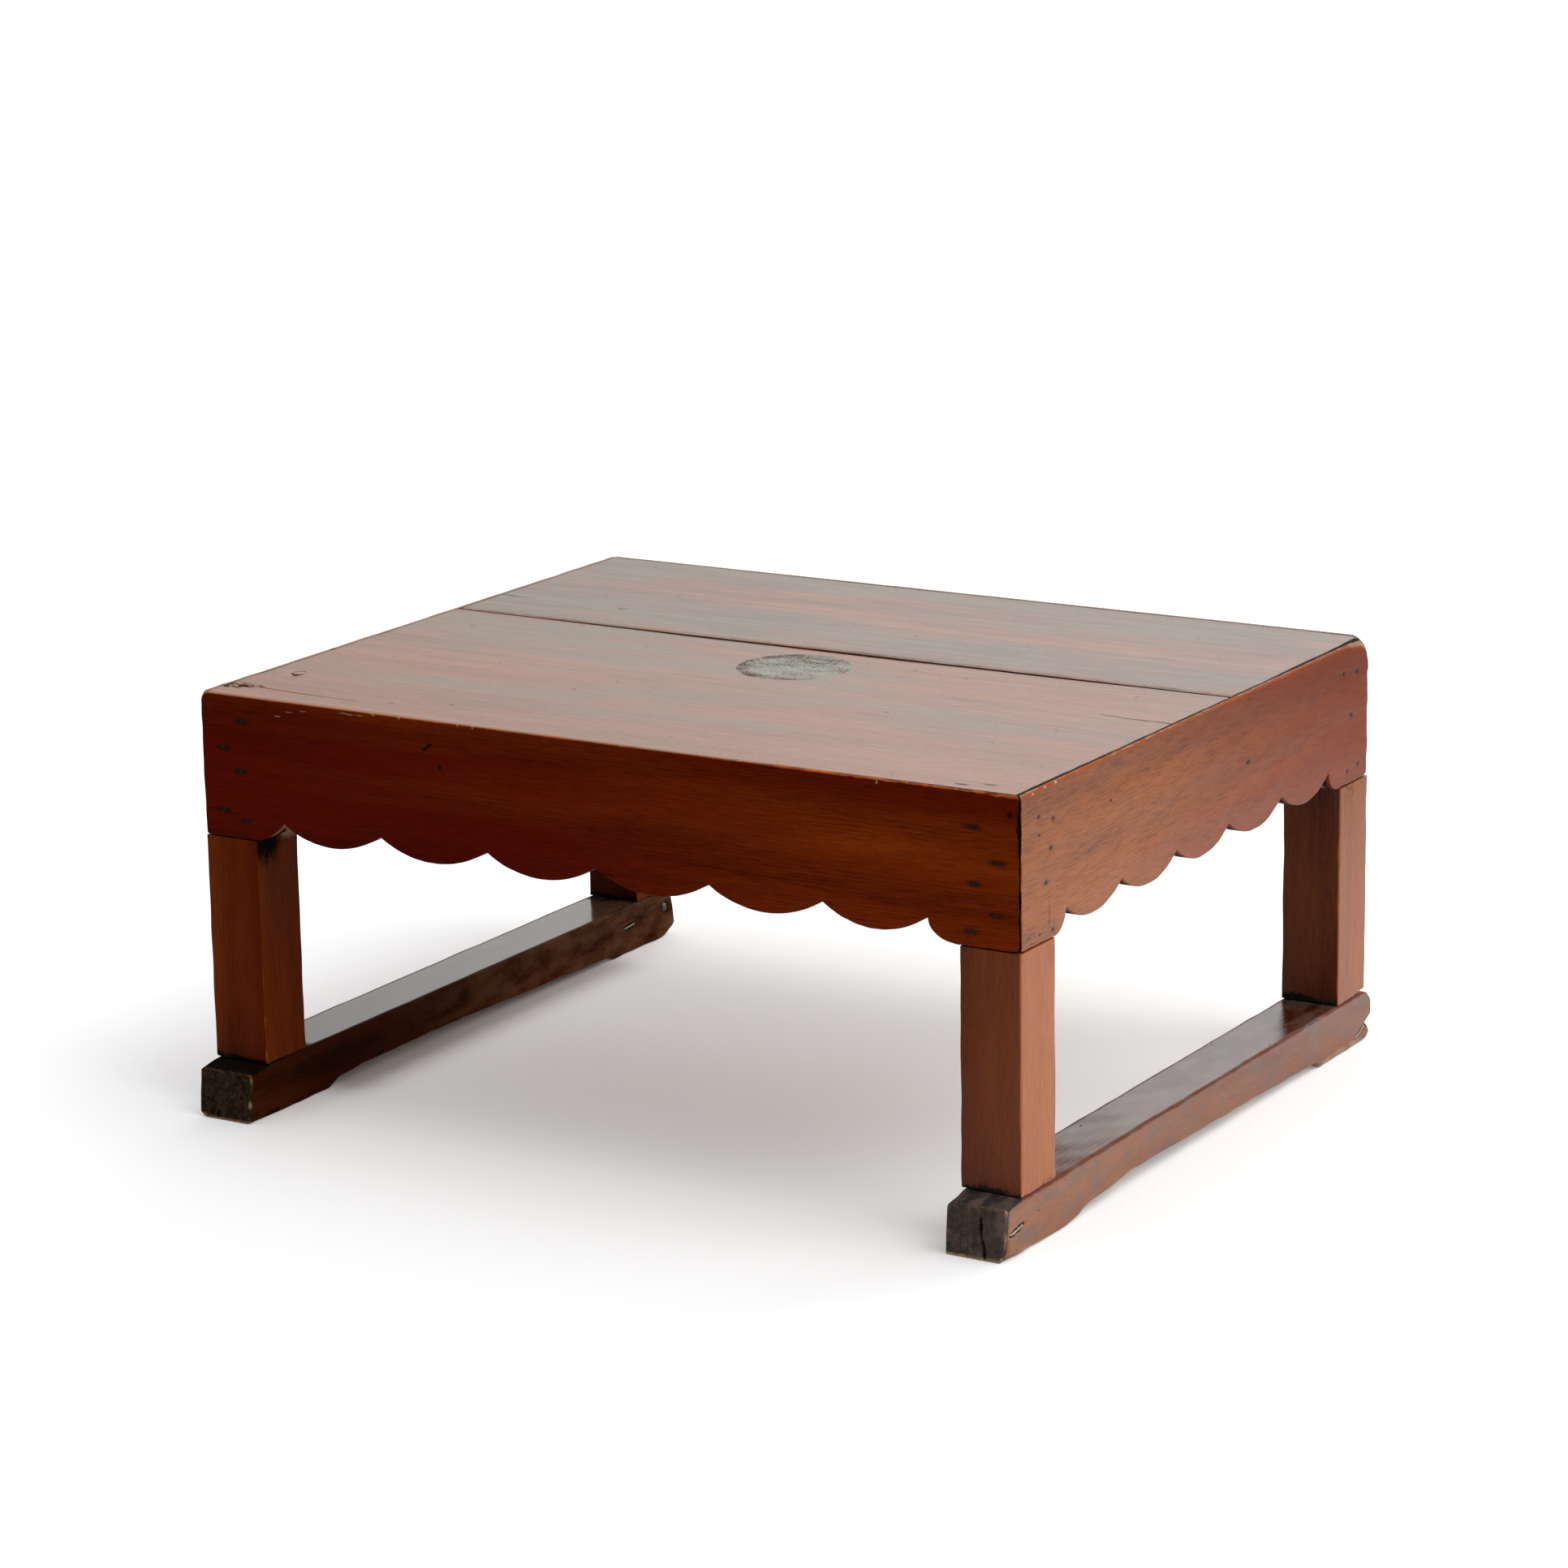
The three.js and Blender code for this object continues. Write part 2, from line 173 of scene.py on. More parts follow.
def placed(tree, vector, scale=(1, 1, 1), shift=(0, 0, 0), turn=(0, 0, 0)):
    """A vector scaled, turned and shifted."""
    inputs = {"Vector": vector, "Scale": scale, "Location": shift, "Rotation": turn}
    return add(tree, "ShaderNodeMapping", inputs).outputs[0]


def step(tree, value, start, end):
    """0 below start and 1 above end, with a smooth rise between them."""
    inputs = {"Value": value, "From Min": start, "From Max": end}
    node = add(tree, "ShaderNodeMapRange", inputs, interpolation_type="SMOOTHSTEP")
    return node.outputs["Result"]


def mix(tree, factor, a, b, blend="MIX"):
    """Mixes two colours."""
    inputs = {"Factor": factor, 6: a, 7: b}
    return add(tree, "ShaderNodeMix", inputs, data_type="RGBA", blend_type=blend).outputs[2]


def mark_of(tree, name):
    """The number that a piece keeps per point under this name, 0 where it has none."""
    return add(tree, "ShaderNodeAttribute", attribute_name=name).outputs["Fac"]


def cover(material, factor, colour, roughness=None):
    """Lays a colour, and a roughness if given, over what a material has, by a factor from 0 to 1."""
    tree = material.node_tree
    shader = tree.nodes["Principled BSDF"]
    base = shader.inputs["Base Color"]
    tree.links.new(mix(tree, factor, base.links[0].from_socket, colour), base)
    if roughness is not None:
        rough = shader.inputs["Roughness"]
        change = sums(tree, "SUBTRACT", roughness, rough.links[0].from_socket)
        tree.links.new(sums(tree, "MULTIPLY_ADD", change, factor, rough.links[0].from_socket), rough)


def old_wood(name, grain, tones, pith, ring, shares, roughness, specular, lean=(0, 0, 0)):
    """Softwood under old varnish. The tones are light, red, dark and worn edge. Growth rings are
    cylinders round the pith, a line along the grain: a ring's number is the distance from the
    pith, swayed by slow noise, over the ring's width, and the end of each ring is dark. Fibres
    and clouds are noise drawn out along the grain. The shares say how much rings, fibres and
    clouds darken. Marks of the piece per point: thin is where the colour is lighter, for thinner
    varnish and, on the legs' right faces, for painted light; deep where it is darker, for deeper
    varnish and, on the legs' other faces, for painted shade; polish where it is smoother; and
    faded, end, worn, bare and soil lay on the faded colour of the top, dark end grain, orange
    edges, pale bare wood and black, broken up by noise: the black is grime, and painted shade
    inside gaps, cracks and slots and along some edges."""
    light, red, dark, worn = tones
    ring_share, fibre_share, cloud_share = shares
    axis = "XYZ".index(grain)
    material = bpy.data.materials.new(name)
    material.use_nodes = True
    tree = material.node_tree
    shader = tree.nodes["Principled BSDF"]
    place = add(tree, "ShaderNodeTexCoord").outputs["Object"]
    along = placed(tree, place, [0.07 if i == axis else 1.0 for i in range(3)])
    fine = placed(tree, place, [0.055 if i == axis else 1.0 for i in range(3)])
    cloud = noise(tree, along, 26.0, 4.0, 0.6)
    tint = noise(tree, placed(tree, along, shift=(3.1, 1.7, 0.4)), 12.0, 3.0)
    sway = noise(tree, along, 6.0, 2.0)
    jitter = noise(tree, placed(tree, along, shift=(0.2, 5.7, 2.4)), 70.0, 3.0, 0.6)
    fibre = noise(tree, fine, 800.0, 5.0, 0.8)
    pore = noise(tree, placed(tree, fine, shift=(0.3, 0.9, 0.2)), 1900.0, 2.0, 0.8)
    centred = placed(tree, place, shift=[-value for value in pith], turn=lean)
    across = [0.0 if i == axis else 1.0 for i in range(3)]
    flat = add(tree, "ShaderNodeVectorMath", {0: centred, 1: across}, operation="MULTIPLY").outputs[0]
    distance = add(tree, "ShaderNodeVectorMath", {0: flat}, operation="LENGTH").outputs["Value"]
    number = sums(tree, "DIVIDE", sums(tree, "MULTIPLY_ADD", sway, 0.028, distance), ring)
    part = sums(tree, "FRACT", sums(tree, "MULTIPLY_ADD", jitter, 2.4, number))
    late = sums(tree, "MULTIPLY", step(tree, part, 0.2, 0.86), step(tree, part, 1.0, 0.93))
    strength = sums(tree, "MULTIPLY", late, step(tree, noise(tree, along, 38.0, 2.0), 0.3, 0.65))

    lighter = sums(tree, "MULTIPLY_ADD", step(tree, tint, 0.6, 0.4), 0.45, mark_of(tree, "thin_and_painted_light"), clamp=True)
    ground = mix(tree, lighter, red, light)
    depth = sums(tree, "MULTIPLY", step(tree, cloud, 0.38, 0.78), cloud_share)
    depth = sums(tree, "MULTIPLY_ADD", mark_of(tree, "deep_and_painted_shade"), sums(tree, "MULTIPLY_ADD", cloud, 0.8, 0.3), depth)
    depth = sums(tree, "MULTIPLY_ADD", strength, ring_share, depth)
    depth = sums(tree, "MULTIPLY_ADD", step(tree, fibre, 0.42, 0.7), fibre_share, depth)
    depth = sums(tree, "MULTIPLY_ADD", step(tree, pore, 0.52, 0.75), 0.6 * fibre_share, depth, clamp=True)
    tree.links.new(mix(tree, depth, ground, dark), shader.inputs["Base Color"])
    rough = sums(tree, "MULTIPLY_ADD", fibre, 0.2, roughness - 0.1)
    smooth = sums(tree, "MULTIPLY_ADD", mark_of(tree, "polish"), -0.55, 1.0)
    tree.links.new(sums(tree, "MULTIPLY", rough, smooth), shader.inputs["Roughness"])
    shader.inputs["Specular IOR Level"].default_value = specular

    broken = sums(tree, "MULTIPLY_ADD", fibre, 0.9, -0.45)
    speckle = noise(tree, place, 210.0, 5.0, 0.7)
    ragged = sums(tree, "MULTIPLY_ADD", speckle, 0.9, sums(tree, "ADD", broken, -0.45))
    faded = mix(tree, strength, (0.34, 0.14, 0.075), (0.24, 0.085, 0.045))
    cover(material, step(tree, mark_of(tree, "faded"), 0.3, 0.7), faded, 0.27)
    end_noise = sums(tree, "MULTIPLY_ADD", fibre, 0.8, sums(tree, "MULTIPLY", speckle, 0.5))
    end_grain = mix(tree, step(tree, end_noise, 0.5, 0.82), (0.068, 0.04, 0.022), (0.014, 0.009, 0.006))
    looks = (
        ("end", end_grain, 0.95),
        ("worn", worn, 0.95),
        ("bare", (0.42, 0.26, 0.15), 0.85),
        ("soil", (0.006, 0.004, 0.003), 1.0),
    )
    for mark, tone, rough in looks:
        edge = sums(tree, "ADD", mark_of(tree, mark), ragged)
        cover(material, step(tree, edge, 0.32, 0.78), tone, rough)
    height = sums(tree, "MULTIPLY_ADD", late, -0.3, fibre)
    bump = add(tree, "ShaderNodeBump", {"Height": height, "Strength": 0.25, "Distance": 0.0004})
    tree.links.new(bump.outputs[0], shader.inputs["Normal"])
    return material


def stain(material, spots, size, colour, roughness, ragged=0.4, strength=1.0):
    """Lays a colour round spots: ellipses of about the half sizes along X, Y and Z, with ragged
    edges, each a little larger or smaller than the next."""
    tree = material.node_tree
    place = add(tree, "ShaderNodeTexCoord").outputs["Object"]
    nearest = 100.0
    for spot in spots:
        shift = [-value / half for value, half in zip(spot, size)]
        inside = placed(tree, place, [1 / half for half in size], shift)
        away = add(tree, "ShaderNodeVectorMath", {0: inside}, operation="LENGTH").outputs["Value"]
        nearest = sums(tree, "MINIMUM", away, nearest)
    nearest = sums(tree, "MULTIPLY", nearest, sums(tree, "MULTIPLY_ADD", noise(tree, place, 70.0, 1.0), 1.4, 0.35))
    uneven = noise(tree, placed(tree, place, [0.004 / half for half in size]), 900.0, 4.0, 0.75)
    edge = sums(tree, "MULTIPLY_ADD", uneven, 2 * ragged, sums(tree, "ADD", nearest, -ragged))
    cover(material, sums(tree, "MULTIPLY", step(tree, edge, 1.15, 0.4), strength), colour, roughness)


def nicked(material, along, across, size, share, strength, colour):
    """Lays small dark nicks drawn out along the grain: the hearts of cells, as far apart as the
    scales along and across it say, kept in a share of the cells by the cell's own number."""
    tree = material.node_tree
    place = add(tree, "ShaderNodeTexCoord").outputs["Object"]
    inputs = {"Vector": placed(tree, place, along), "Scale": across, "Randomness": 1.0}
    cells = add(tree, "ShaderNodeTexVoronoi", inputs).outputs
    number = add(tree, "ShaderNodeSeparateColor", {0: cells["Color"]}).outputs[0]
    chosen = step(tree, number, 1 - share, 1 - share + 0.3)
    nick = step(tree, cells["Distance"], size * 1.6, size * 0.5)
    cover(material, sums(tree, "MULTIPLY", sums(tree, "MULTIPLY", nick, chosen), strength), colour, 0.7)


edge_steps = (0.0003, 0.0007, 0.0012, 0.0018, 0.0026, 0.0036)
tenon_shoulder = 0.011
tenon_gap = 0.0003
table_middle = 0.005
runner_shares = (0.2, 0.35, 0.6)
right_runner_tones = [(0.42, 0.15, 0.03), (0.26, 0.06, 0.01), (0.045, 0.006, 0.001), (0.17, 0.024, 0.002)]
left_runner_tones = [(0.13, 0.022, 0.002), (0.06, 0.007, 0.0007), (0.012, 0.002, 0.0003), (0.4, 0.09, 0.01)]
right_runner_wood = old_wood(
    "right_runner_wood", "Y", right_runner_tones, (0.3, 0.0, -0.06), 0.0021, runner_shares, 0.3, 0.7
)
left_runner_wood = old_wood(
    "left_runner_wood", "Y", left_runner_tones, (-0.3, 0.0, -0.06), 0.0021, runner_shares, 0.4, 0.03
)
left_tree = left_runner_wood.node_tree
left_shader = left_tree.nodes["Principled BSDF"]
left_tree.links.new(mark_of(left_tree, "polish"), left_shader.inputs["Coat Weight"])
left_shader.inputs["Coat Roughness"].default_value = 0.14
# Painted sheen: a pale grey laid over the polished top of the left runner, beside the coat's real reflection.
painted_sheen = sums(left_tree, "MULTIPLY", mark_of(left_tree, "polish"), 0.3)
cover(left_runner_wood, painted_sheen, (0.24, 0.18, 0.13))
for wood, reach, patches, dull_colour in (
    (right_runner_wood, (-1.0, -0.9), (0.44, 0.66), (0.14, 0.085, 0.065)),
    (left_runner_wood, (-0.2, 0.12), (0.3, 0.7), (0.17, 0.075, 0.033)),
):
    tree = wood.node_tree
    place = add(tree, "ShaderNodeTexCoord").outputs["Object"]
    rearward = step(tree, add(tree, "ShaderNodeSeparateXYZ", {0: place}).outputs["Y"], *reach)
    dulled = step(tree, noise(tree, placed(tree, place, (1, 0.35, 1)), 75.0, 4.0, 0.65), *patches)
    cover(wood, sums(tree, "MULTIPLY", sums(tree, "MULTIPLY", dulled, rearward), 0.7), dull_colour)
    on_sides = sums(tree, "MULTIPLY_ADD", mark_of(tree, "deep_and_painted_shade"), -0.8, 0.8)
    nicked(wood, (0, 0.2, 1), 120.0, 0.05, 0.35, on_sides, (0.03, 0.012, 0.008))
    nicked(wood, (1, 0.35, 0), 75.0, 0.06, 0.5, mark_of(tree, "polish"), (0.02, 0.008, 0.005))
end_slant = 0.004
iron_slots = {
    "staple_right_runner_front": (-0.307, 0.0215, 0.17),
    "staple_right_runner_rear": (0.304, 0.0095, 0.4),
    "staple_left_runner_inner": (0.2435, 0.0245, 0.065),
    "round_nail_left_runner": (0.303, 0.028, 0.0),
}


def leg_places(x_name):
    """The middle and half size of the two tenons that go into a runner."""
    for y_name in ("front", "rear"):
        low, high = (np.array(corner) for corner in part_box(f"leg_{y_name}_{x_name}"))
        yield (low + high) / 2, (high - low) / 2 - tenon_shoulder, low[2]


def runner(x_name, wood, hollow, rear_end, check, corner_wear, irons, seed):
    """One runner: an eased block whose front end slopes down on top and slants in towards it. The
    underside is lifted by the hollow, pairs of place and height, and the rear end is cut to the
    rear_end, pairs of height and reach. A drying check runs down the front end: check holds its
    place and slant as shares of the width, its half width, and the heights between which it is
    open. Corner wear is for the four corners of the front end, left and right, below then above.
    Irons are the nodes sunk in its side."""
    node = f"runner_{x_name}"
    low, high = (np.array(corner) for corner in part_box(node))
    middle = (low + high) / 2
    half = (high - low) / 2
    tenons = list(leg_places(x_name))
    pocket_x, pocket_y = (
        [c[axis] + s * (size[axis] + tenon_gap + d) for c, size, _ in tenons for s in (-1, 1) for d in (0, 0.0002)]
        for axis in (0, 1)
    )
    share, slant, width, check_low, check_high = check
    check_x = low[0] + share * 2 * half[0]
    check_steps = [check_x + s * d for s in (-1, 1) for d in (0, 0.0002, 0.0006, 0.0012, 0.002, 0.003)]
    iron_y = [iron_slots[name][0] + d for name in irons for d in np.arange(-0.015, 0.0151, 0.001)]
    iron_z = [iron_slots[name][1] + d for name in irons for d in np.arange(-0.0064, 0.0065, 0.0008)]
    xs = places(low[0], high[0], 0.0022, edge_steps, (low[0], high[0]), pocket_x + check_steps)
    ys = places(low[1], high[1], 0.002, edge_steps, (low[1], high[1]), pocket_y + iron_y)
    zs = places(low[2], high[2], 0.0022, edge_steps, (low[2], high[2]), iron_z)
    points, quads = block(xs, ys, zs)
    start = points.copy()
    from_front = start[:, 1] - low[1]
    from_rear = high[1] - start[:, 1]
    lift = (start[:, 2] - low[2]) / (high[2] - low[2])
    right = (start[:, 0] - low[0]) / (high[0] - low[0])
    near_end = hill(np.maximum(from_front - 0.03, 0), 0.03)

    below = corner_wear[0] * (1 - right) + corner_wear[1] * right
    above = corner_wear[2] * (1 - right) + corner_wear[3] * right
    radius = 0.0028 - 0.0014 * lift + (below * (1 - lift) + above * lift) * near_end
    radius = np.clip(radius * (1 + 0.3 * ripple(points, 0.03, seed)), 0.0007, 0.012)
    points = eased(points, low - [0, 1, 0], high + [0, 1, 0], radius)
    frayed = 0.0008 + (0.003 + 0.007 * (1 - lift) ** 2) * right**2 * hill(from_front, 0.02) * (x_name == "right")
    points = eased(points, low - [0, 0, 1], high + [0, 0, 1], frayed)
    points = eased(points, low, high, 0.0015)
    x, y, z = points.T
    y = middle[1] + (y - middle[1]) * (1 - end_slant * lift / half[1])
    reach = np.interp(start[:, 2], *zip(*rear_end)) + table_middle
    y = y - (high[1] - reach) * rise(from_rear, 0.045, 0.0) * rise(y, 0.2, 0.3)
    z = z + np.interp(start[:, 1] - table_middle, *zip(*hollow)) * (1 - lift)
    z = z - 0.0032 * lift * np.clip(1 - from_front / 0.025, 0, 1) ** 1.3
    x = x - (x - middle[0]) / half[0] * 0.00025 * (1 + ripple(points, (0.02, 0.05, 0.02), seed + 1))
    z = z - lift * 0.00014 * (1 + ripple(points, (0.04, 0.08, 0.04), seed + 2))

    line = check_x + slant * 2 * half[0] * (1 - lift) + 0.0007 * np.sin(lift * 9)
    x = x + (line - check_x) * hill(start[:, 0] - check_x, 0.012) * hill(from_front, 0.02)
    open_width = width * (0.75 + 0.15 * np.sin(lift * 11) + 0.1 * np.sin(lift * 23))
    open_width = open_width * rise(lift, check_low - 0.02, check_low + 0.1) * rise(lift, check_high, check_high - 0.3)
    opening = np.clip(1 - np.abs(x - line) / np.maximum(open_width, 1e-6), 0, 1) ** 0.5
    y = y + 0.012 * opening * hill(from_front, 0.004)
    for centre, size, depth in tenons:
        inside = np.abs(start[:, :2] - centre[:2]) < size[:2] + tenon_gap + 5e-5
        z = np.where(inside.all(axis=1) & (lift > 0.999), depth - tenon_gap, z)
    outer_face = rise(start[:, 0], high[0] - 0.001, high[0] - 0.0001)
    sunk = np.zeros(len(x))
    for name in irons:
        slot_y, slot_z, slope = iron_slots[name]
        slot_half = np.array([0.0125, 0.0027]) if name.startswith("staple") else np.array([0.0054, 0.0054])
        along = (y - slot_y) * math.cos(slope) + (z - slot_z) * math.sin(slope)
        across = (z - slot_z) * math.cos(slope) - (y - slot_y) * math.sin(slope)
        round_iron = np.hypot(along / slot_half[0], across / slot_half[1])
        if name.endswith("inner"):
            round_iron = np.minimum(round_iron, np.hypot((along - 0.0155) / 0.006, (across - 0.001) / 0.0032))
        round_iron = round_iron + 0.1 * ripple(start, 0.006, seed + 7)
        sunk = np.maximum(sunk, rise(round_iron, 1.15, 0.85) * outer_face)
    x = x - 0.0018 * sunk
    points = np.stack([x, y, z], axis=1)

    to_side = np.minimum(start[:, 0] - low[0], high[0] - start[:, 0])
    to_top = (1 - lift) * 2 * half[2]
    to_foot = lift * 2 * half[2]
    uneven = ripple(start, (0.01, 0.05, 0.01), seed + 3)
    edge_wear = 0.95 if x_name == "right" else 0.25
    worn = np.maximum(hill(to_side, 0.0022) * rise(lift, 0.97, 1.0) * 0.7, hill(to_side + to_top, 0.003)) * edge_wear
    front_arris = 0.45 + 0.4 * ripple(start, 0.007, seed + 9)
    worn = worn * (1 + 0.2 * uneven) + hill(np.hypot(from_front, to_top), 0.0011) * front_arris
    front_side = hill(np.hypot(from_front, high[0] - start[:, 0]), 0.0026) * (0.5 + 0.35 * ripple(start, 0.008, seed + 8))
    beneath = rise(to_foot, 0.0012, 0.0)
    foot_edge = hill(to_foot, 0.0028) * (0.3 + 0.35 * ripple(start, 0.03, seed + 4)) * (1 - beneath)
    foot_edge = foot_edge + 0.5 * hill(from_front - 0.03, 0.035) * rise(lift, 0.45, 0.0) * (x_name == "right")
    front_foot = hill(from_front, 0.004) * hill(to_foot, 0.0036) * 0.85
    bare = np.maximum.reduce([foot_edge, front_foot, front_side, beneath * 0.75])
    end = rise(from_front, 0.0042, 0.0012) + 0.6 * rise(from_rear, 0.006, 0.001)
    end = end * (1 + 0.12 * ripple(start, (0.02, 0.09, 0.02), seed + 5))
    nearest = np.minimum(*(np.abs(start[:, 1] - centre[1]) for centre, _, _ in tenons))
    on_top = rise(lift, 0.93, 0.99)
    overhang = rise(from_front, 0.03, 0.022) * on_top * (0.85 + 0.12 * uneven) * rise(from_front, 0.0008, 0.0024)
    around_leg = rise(nearest, 0.031, 0.028) * on_top * (0.8 - 0.5 * hill(to_side, 0.0022))
    inner_face = rise(np.sign(middle[0]) * (middle[0] - start[:, 0]), half[0] * 0.9, half[0])
    grime = inner_face * rise(lift, 0.6, 0.1) * (0.3 + 0.2 * ripple(start, (0.02, 0.05, 0.02), seed + 6))
    end_dirt = rise(from_front, 0.004, 0.001) * (0.52 if x_name == "left" else 0.1)
    # Painted shade: the sunk slots round the irons are made black.
    slot_shade = sunk * (1.0 + 0.1 * uneven)
    foot_grime = beneath * (0.25 + 0.15 * ripple(start, (0.02, 0.08, 0.02), seed + 10))
    # The black: grime round the legs, on the overhang, low on the inner face, on the ends and beneath, and painted
    # shade inside the check and the slots.
    soil = [around_leg, overhang, (opening > 0.02) * 1.6, grime, end_dirt, slot_shade, foot_grime]
    deep_and_painted_shade = np.maximum(on_top, inner_face * rise(from_front, 0.4, 0.1) * 0.6)
    polish = on_top * rise(nearest, 0.03, 0.04) * rise(from_front, 0.03, 0.06) * rise(to_side, 0.002, 0.004)
    # Lighter towards the front and the foot of the inner face.
    thin_and_painted_light = inner_face * rise(from_front, 0.11, 0.02) * rise(lift, 0.9, 0.3) * 0.8
    marks = {"worn": worn, "bare": bare, "end": end, "polish": polish, "deep_and_painted_shade": deep_and_painted_shade, "thin_and_painted_light": thin_and_painted_light}
    marks["soil"] = np.maximum.reduce(soil)
    piece(node + "_worn", points, quads, wood, "runner_wood", [node], **marks)


front_end_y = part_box("runner_right")[0].y
hairlines = [(0.3365, front_end_y, 0.013), (0.3425, front_end_y, 0.011), (0.347, front_end_y, 0.016)]
stain(right_runner_wood, hairlines, (0.0004, 0.006, 0.012), (0.004, 0.003, 0.002), 0.9, 0.2)
stain(right_runner_wood, [(0.3555, front_end_y, 0.0365)], (0.0007, 0.006, 0.004), (0.004, 0.003, 0.002), 0.9, 0.2)
side_dots = [(0.375, -0.309, 0.0065), (0.375, -0.222, 0.0235), (0.375, -0.2735, 0.027)]
stain(right_runner_wood, side_dots, (0.003, 0.0011, 0.0012), (0.006, 0.004, 0.003), 0.8, 0.4)
tan_patches = [(0.375, 0.235, 0.003), (0.375, 0.262, 0.003), (0.375, 0.29, 0.0035)]
stain(right_runner_wood, tan_patches, (0.006, 0.014, 0.0035), (0.42, 0.27, 0.15), 0.7, 0.9, 0.7)
runner(
    "right",
    right_runner_wood,
    hollow=[(-0.2335, 0), (-0.2145, 0.0024), (-0.2064, 0.0053), (-0.1928, 0.0072), (-0.122, 0.012), (0, 0.01), (0.209, 0.006), (0.2185, 0)],
    rear_end=[(0, 0.303), (0.002, 0.311), (0.0065, 0.3156), (0.0115, 0.313), (0.016, 0.308), (0.0215, 0.321), (0.034, 0.3215), (0.041, 0.315), (0.044, 0.308)],
    check=(0.535, 0.11, 0.0016, 0.0, 0.9),
    corner_wear=(0.0, 0.0045, 0.005, 0.0015),
    irons=("staple_right_runner_front", "staple_right_runner_rear"),
    seed=11,
)
runner(
    "left",
    left_runner_wood,
    hollow=[(-0.222, 0), (-0.208, 0.006), (-0.17, 0.008), (-0.072, 0.009), (0.14, 0.005), (0.2, 0.0034), (0.21, 0)],
    rear_end=[(0, 0.29), (0.002, 0.298), (0.0098, 0.3155), (0.035, 0.313), (0.044, 0.31)],
    check=(0.33, 0.03, 0.0012, 0.02, 0.32),
    corner_wear=(0.007, 0.0, 0.002, 0.0005),
    irons=("staple_left_runner_inner", "round_nail_left_runner"),
    seed=23,
)

# Legs
# Four square softwood posts, rebated at the top on both outer faces to take the aprons, with a
# stub tenon at the foot. Their arrises are rubbed orange, they are darker just below the aprons,
# and dirt has gathered where they meet the runners. Their right faces are painted lighter and
# their other faces darker: painted light and shade.

leg_tones = [(0.48, 0.13, 0.016), (0.17, 0.022, 0.0015), (0.07, 0.008, 0.0005), (0.5, 0.16, 0.025)]
dark_leg_tones = [(0.34, 0.07, 0.006), (0.17, 0.018, 0.001), (0.05, 0.005, 0.0003), (0.48, 0.14, 0.02)]
runner_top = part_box("runner_left")[1].z
leg_foot = runner_top + 0.0003
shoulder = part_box("front_apron")[0].z - 0.0003
rebate = 0.0153


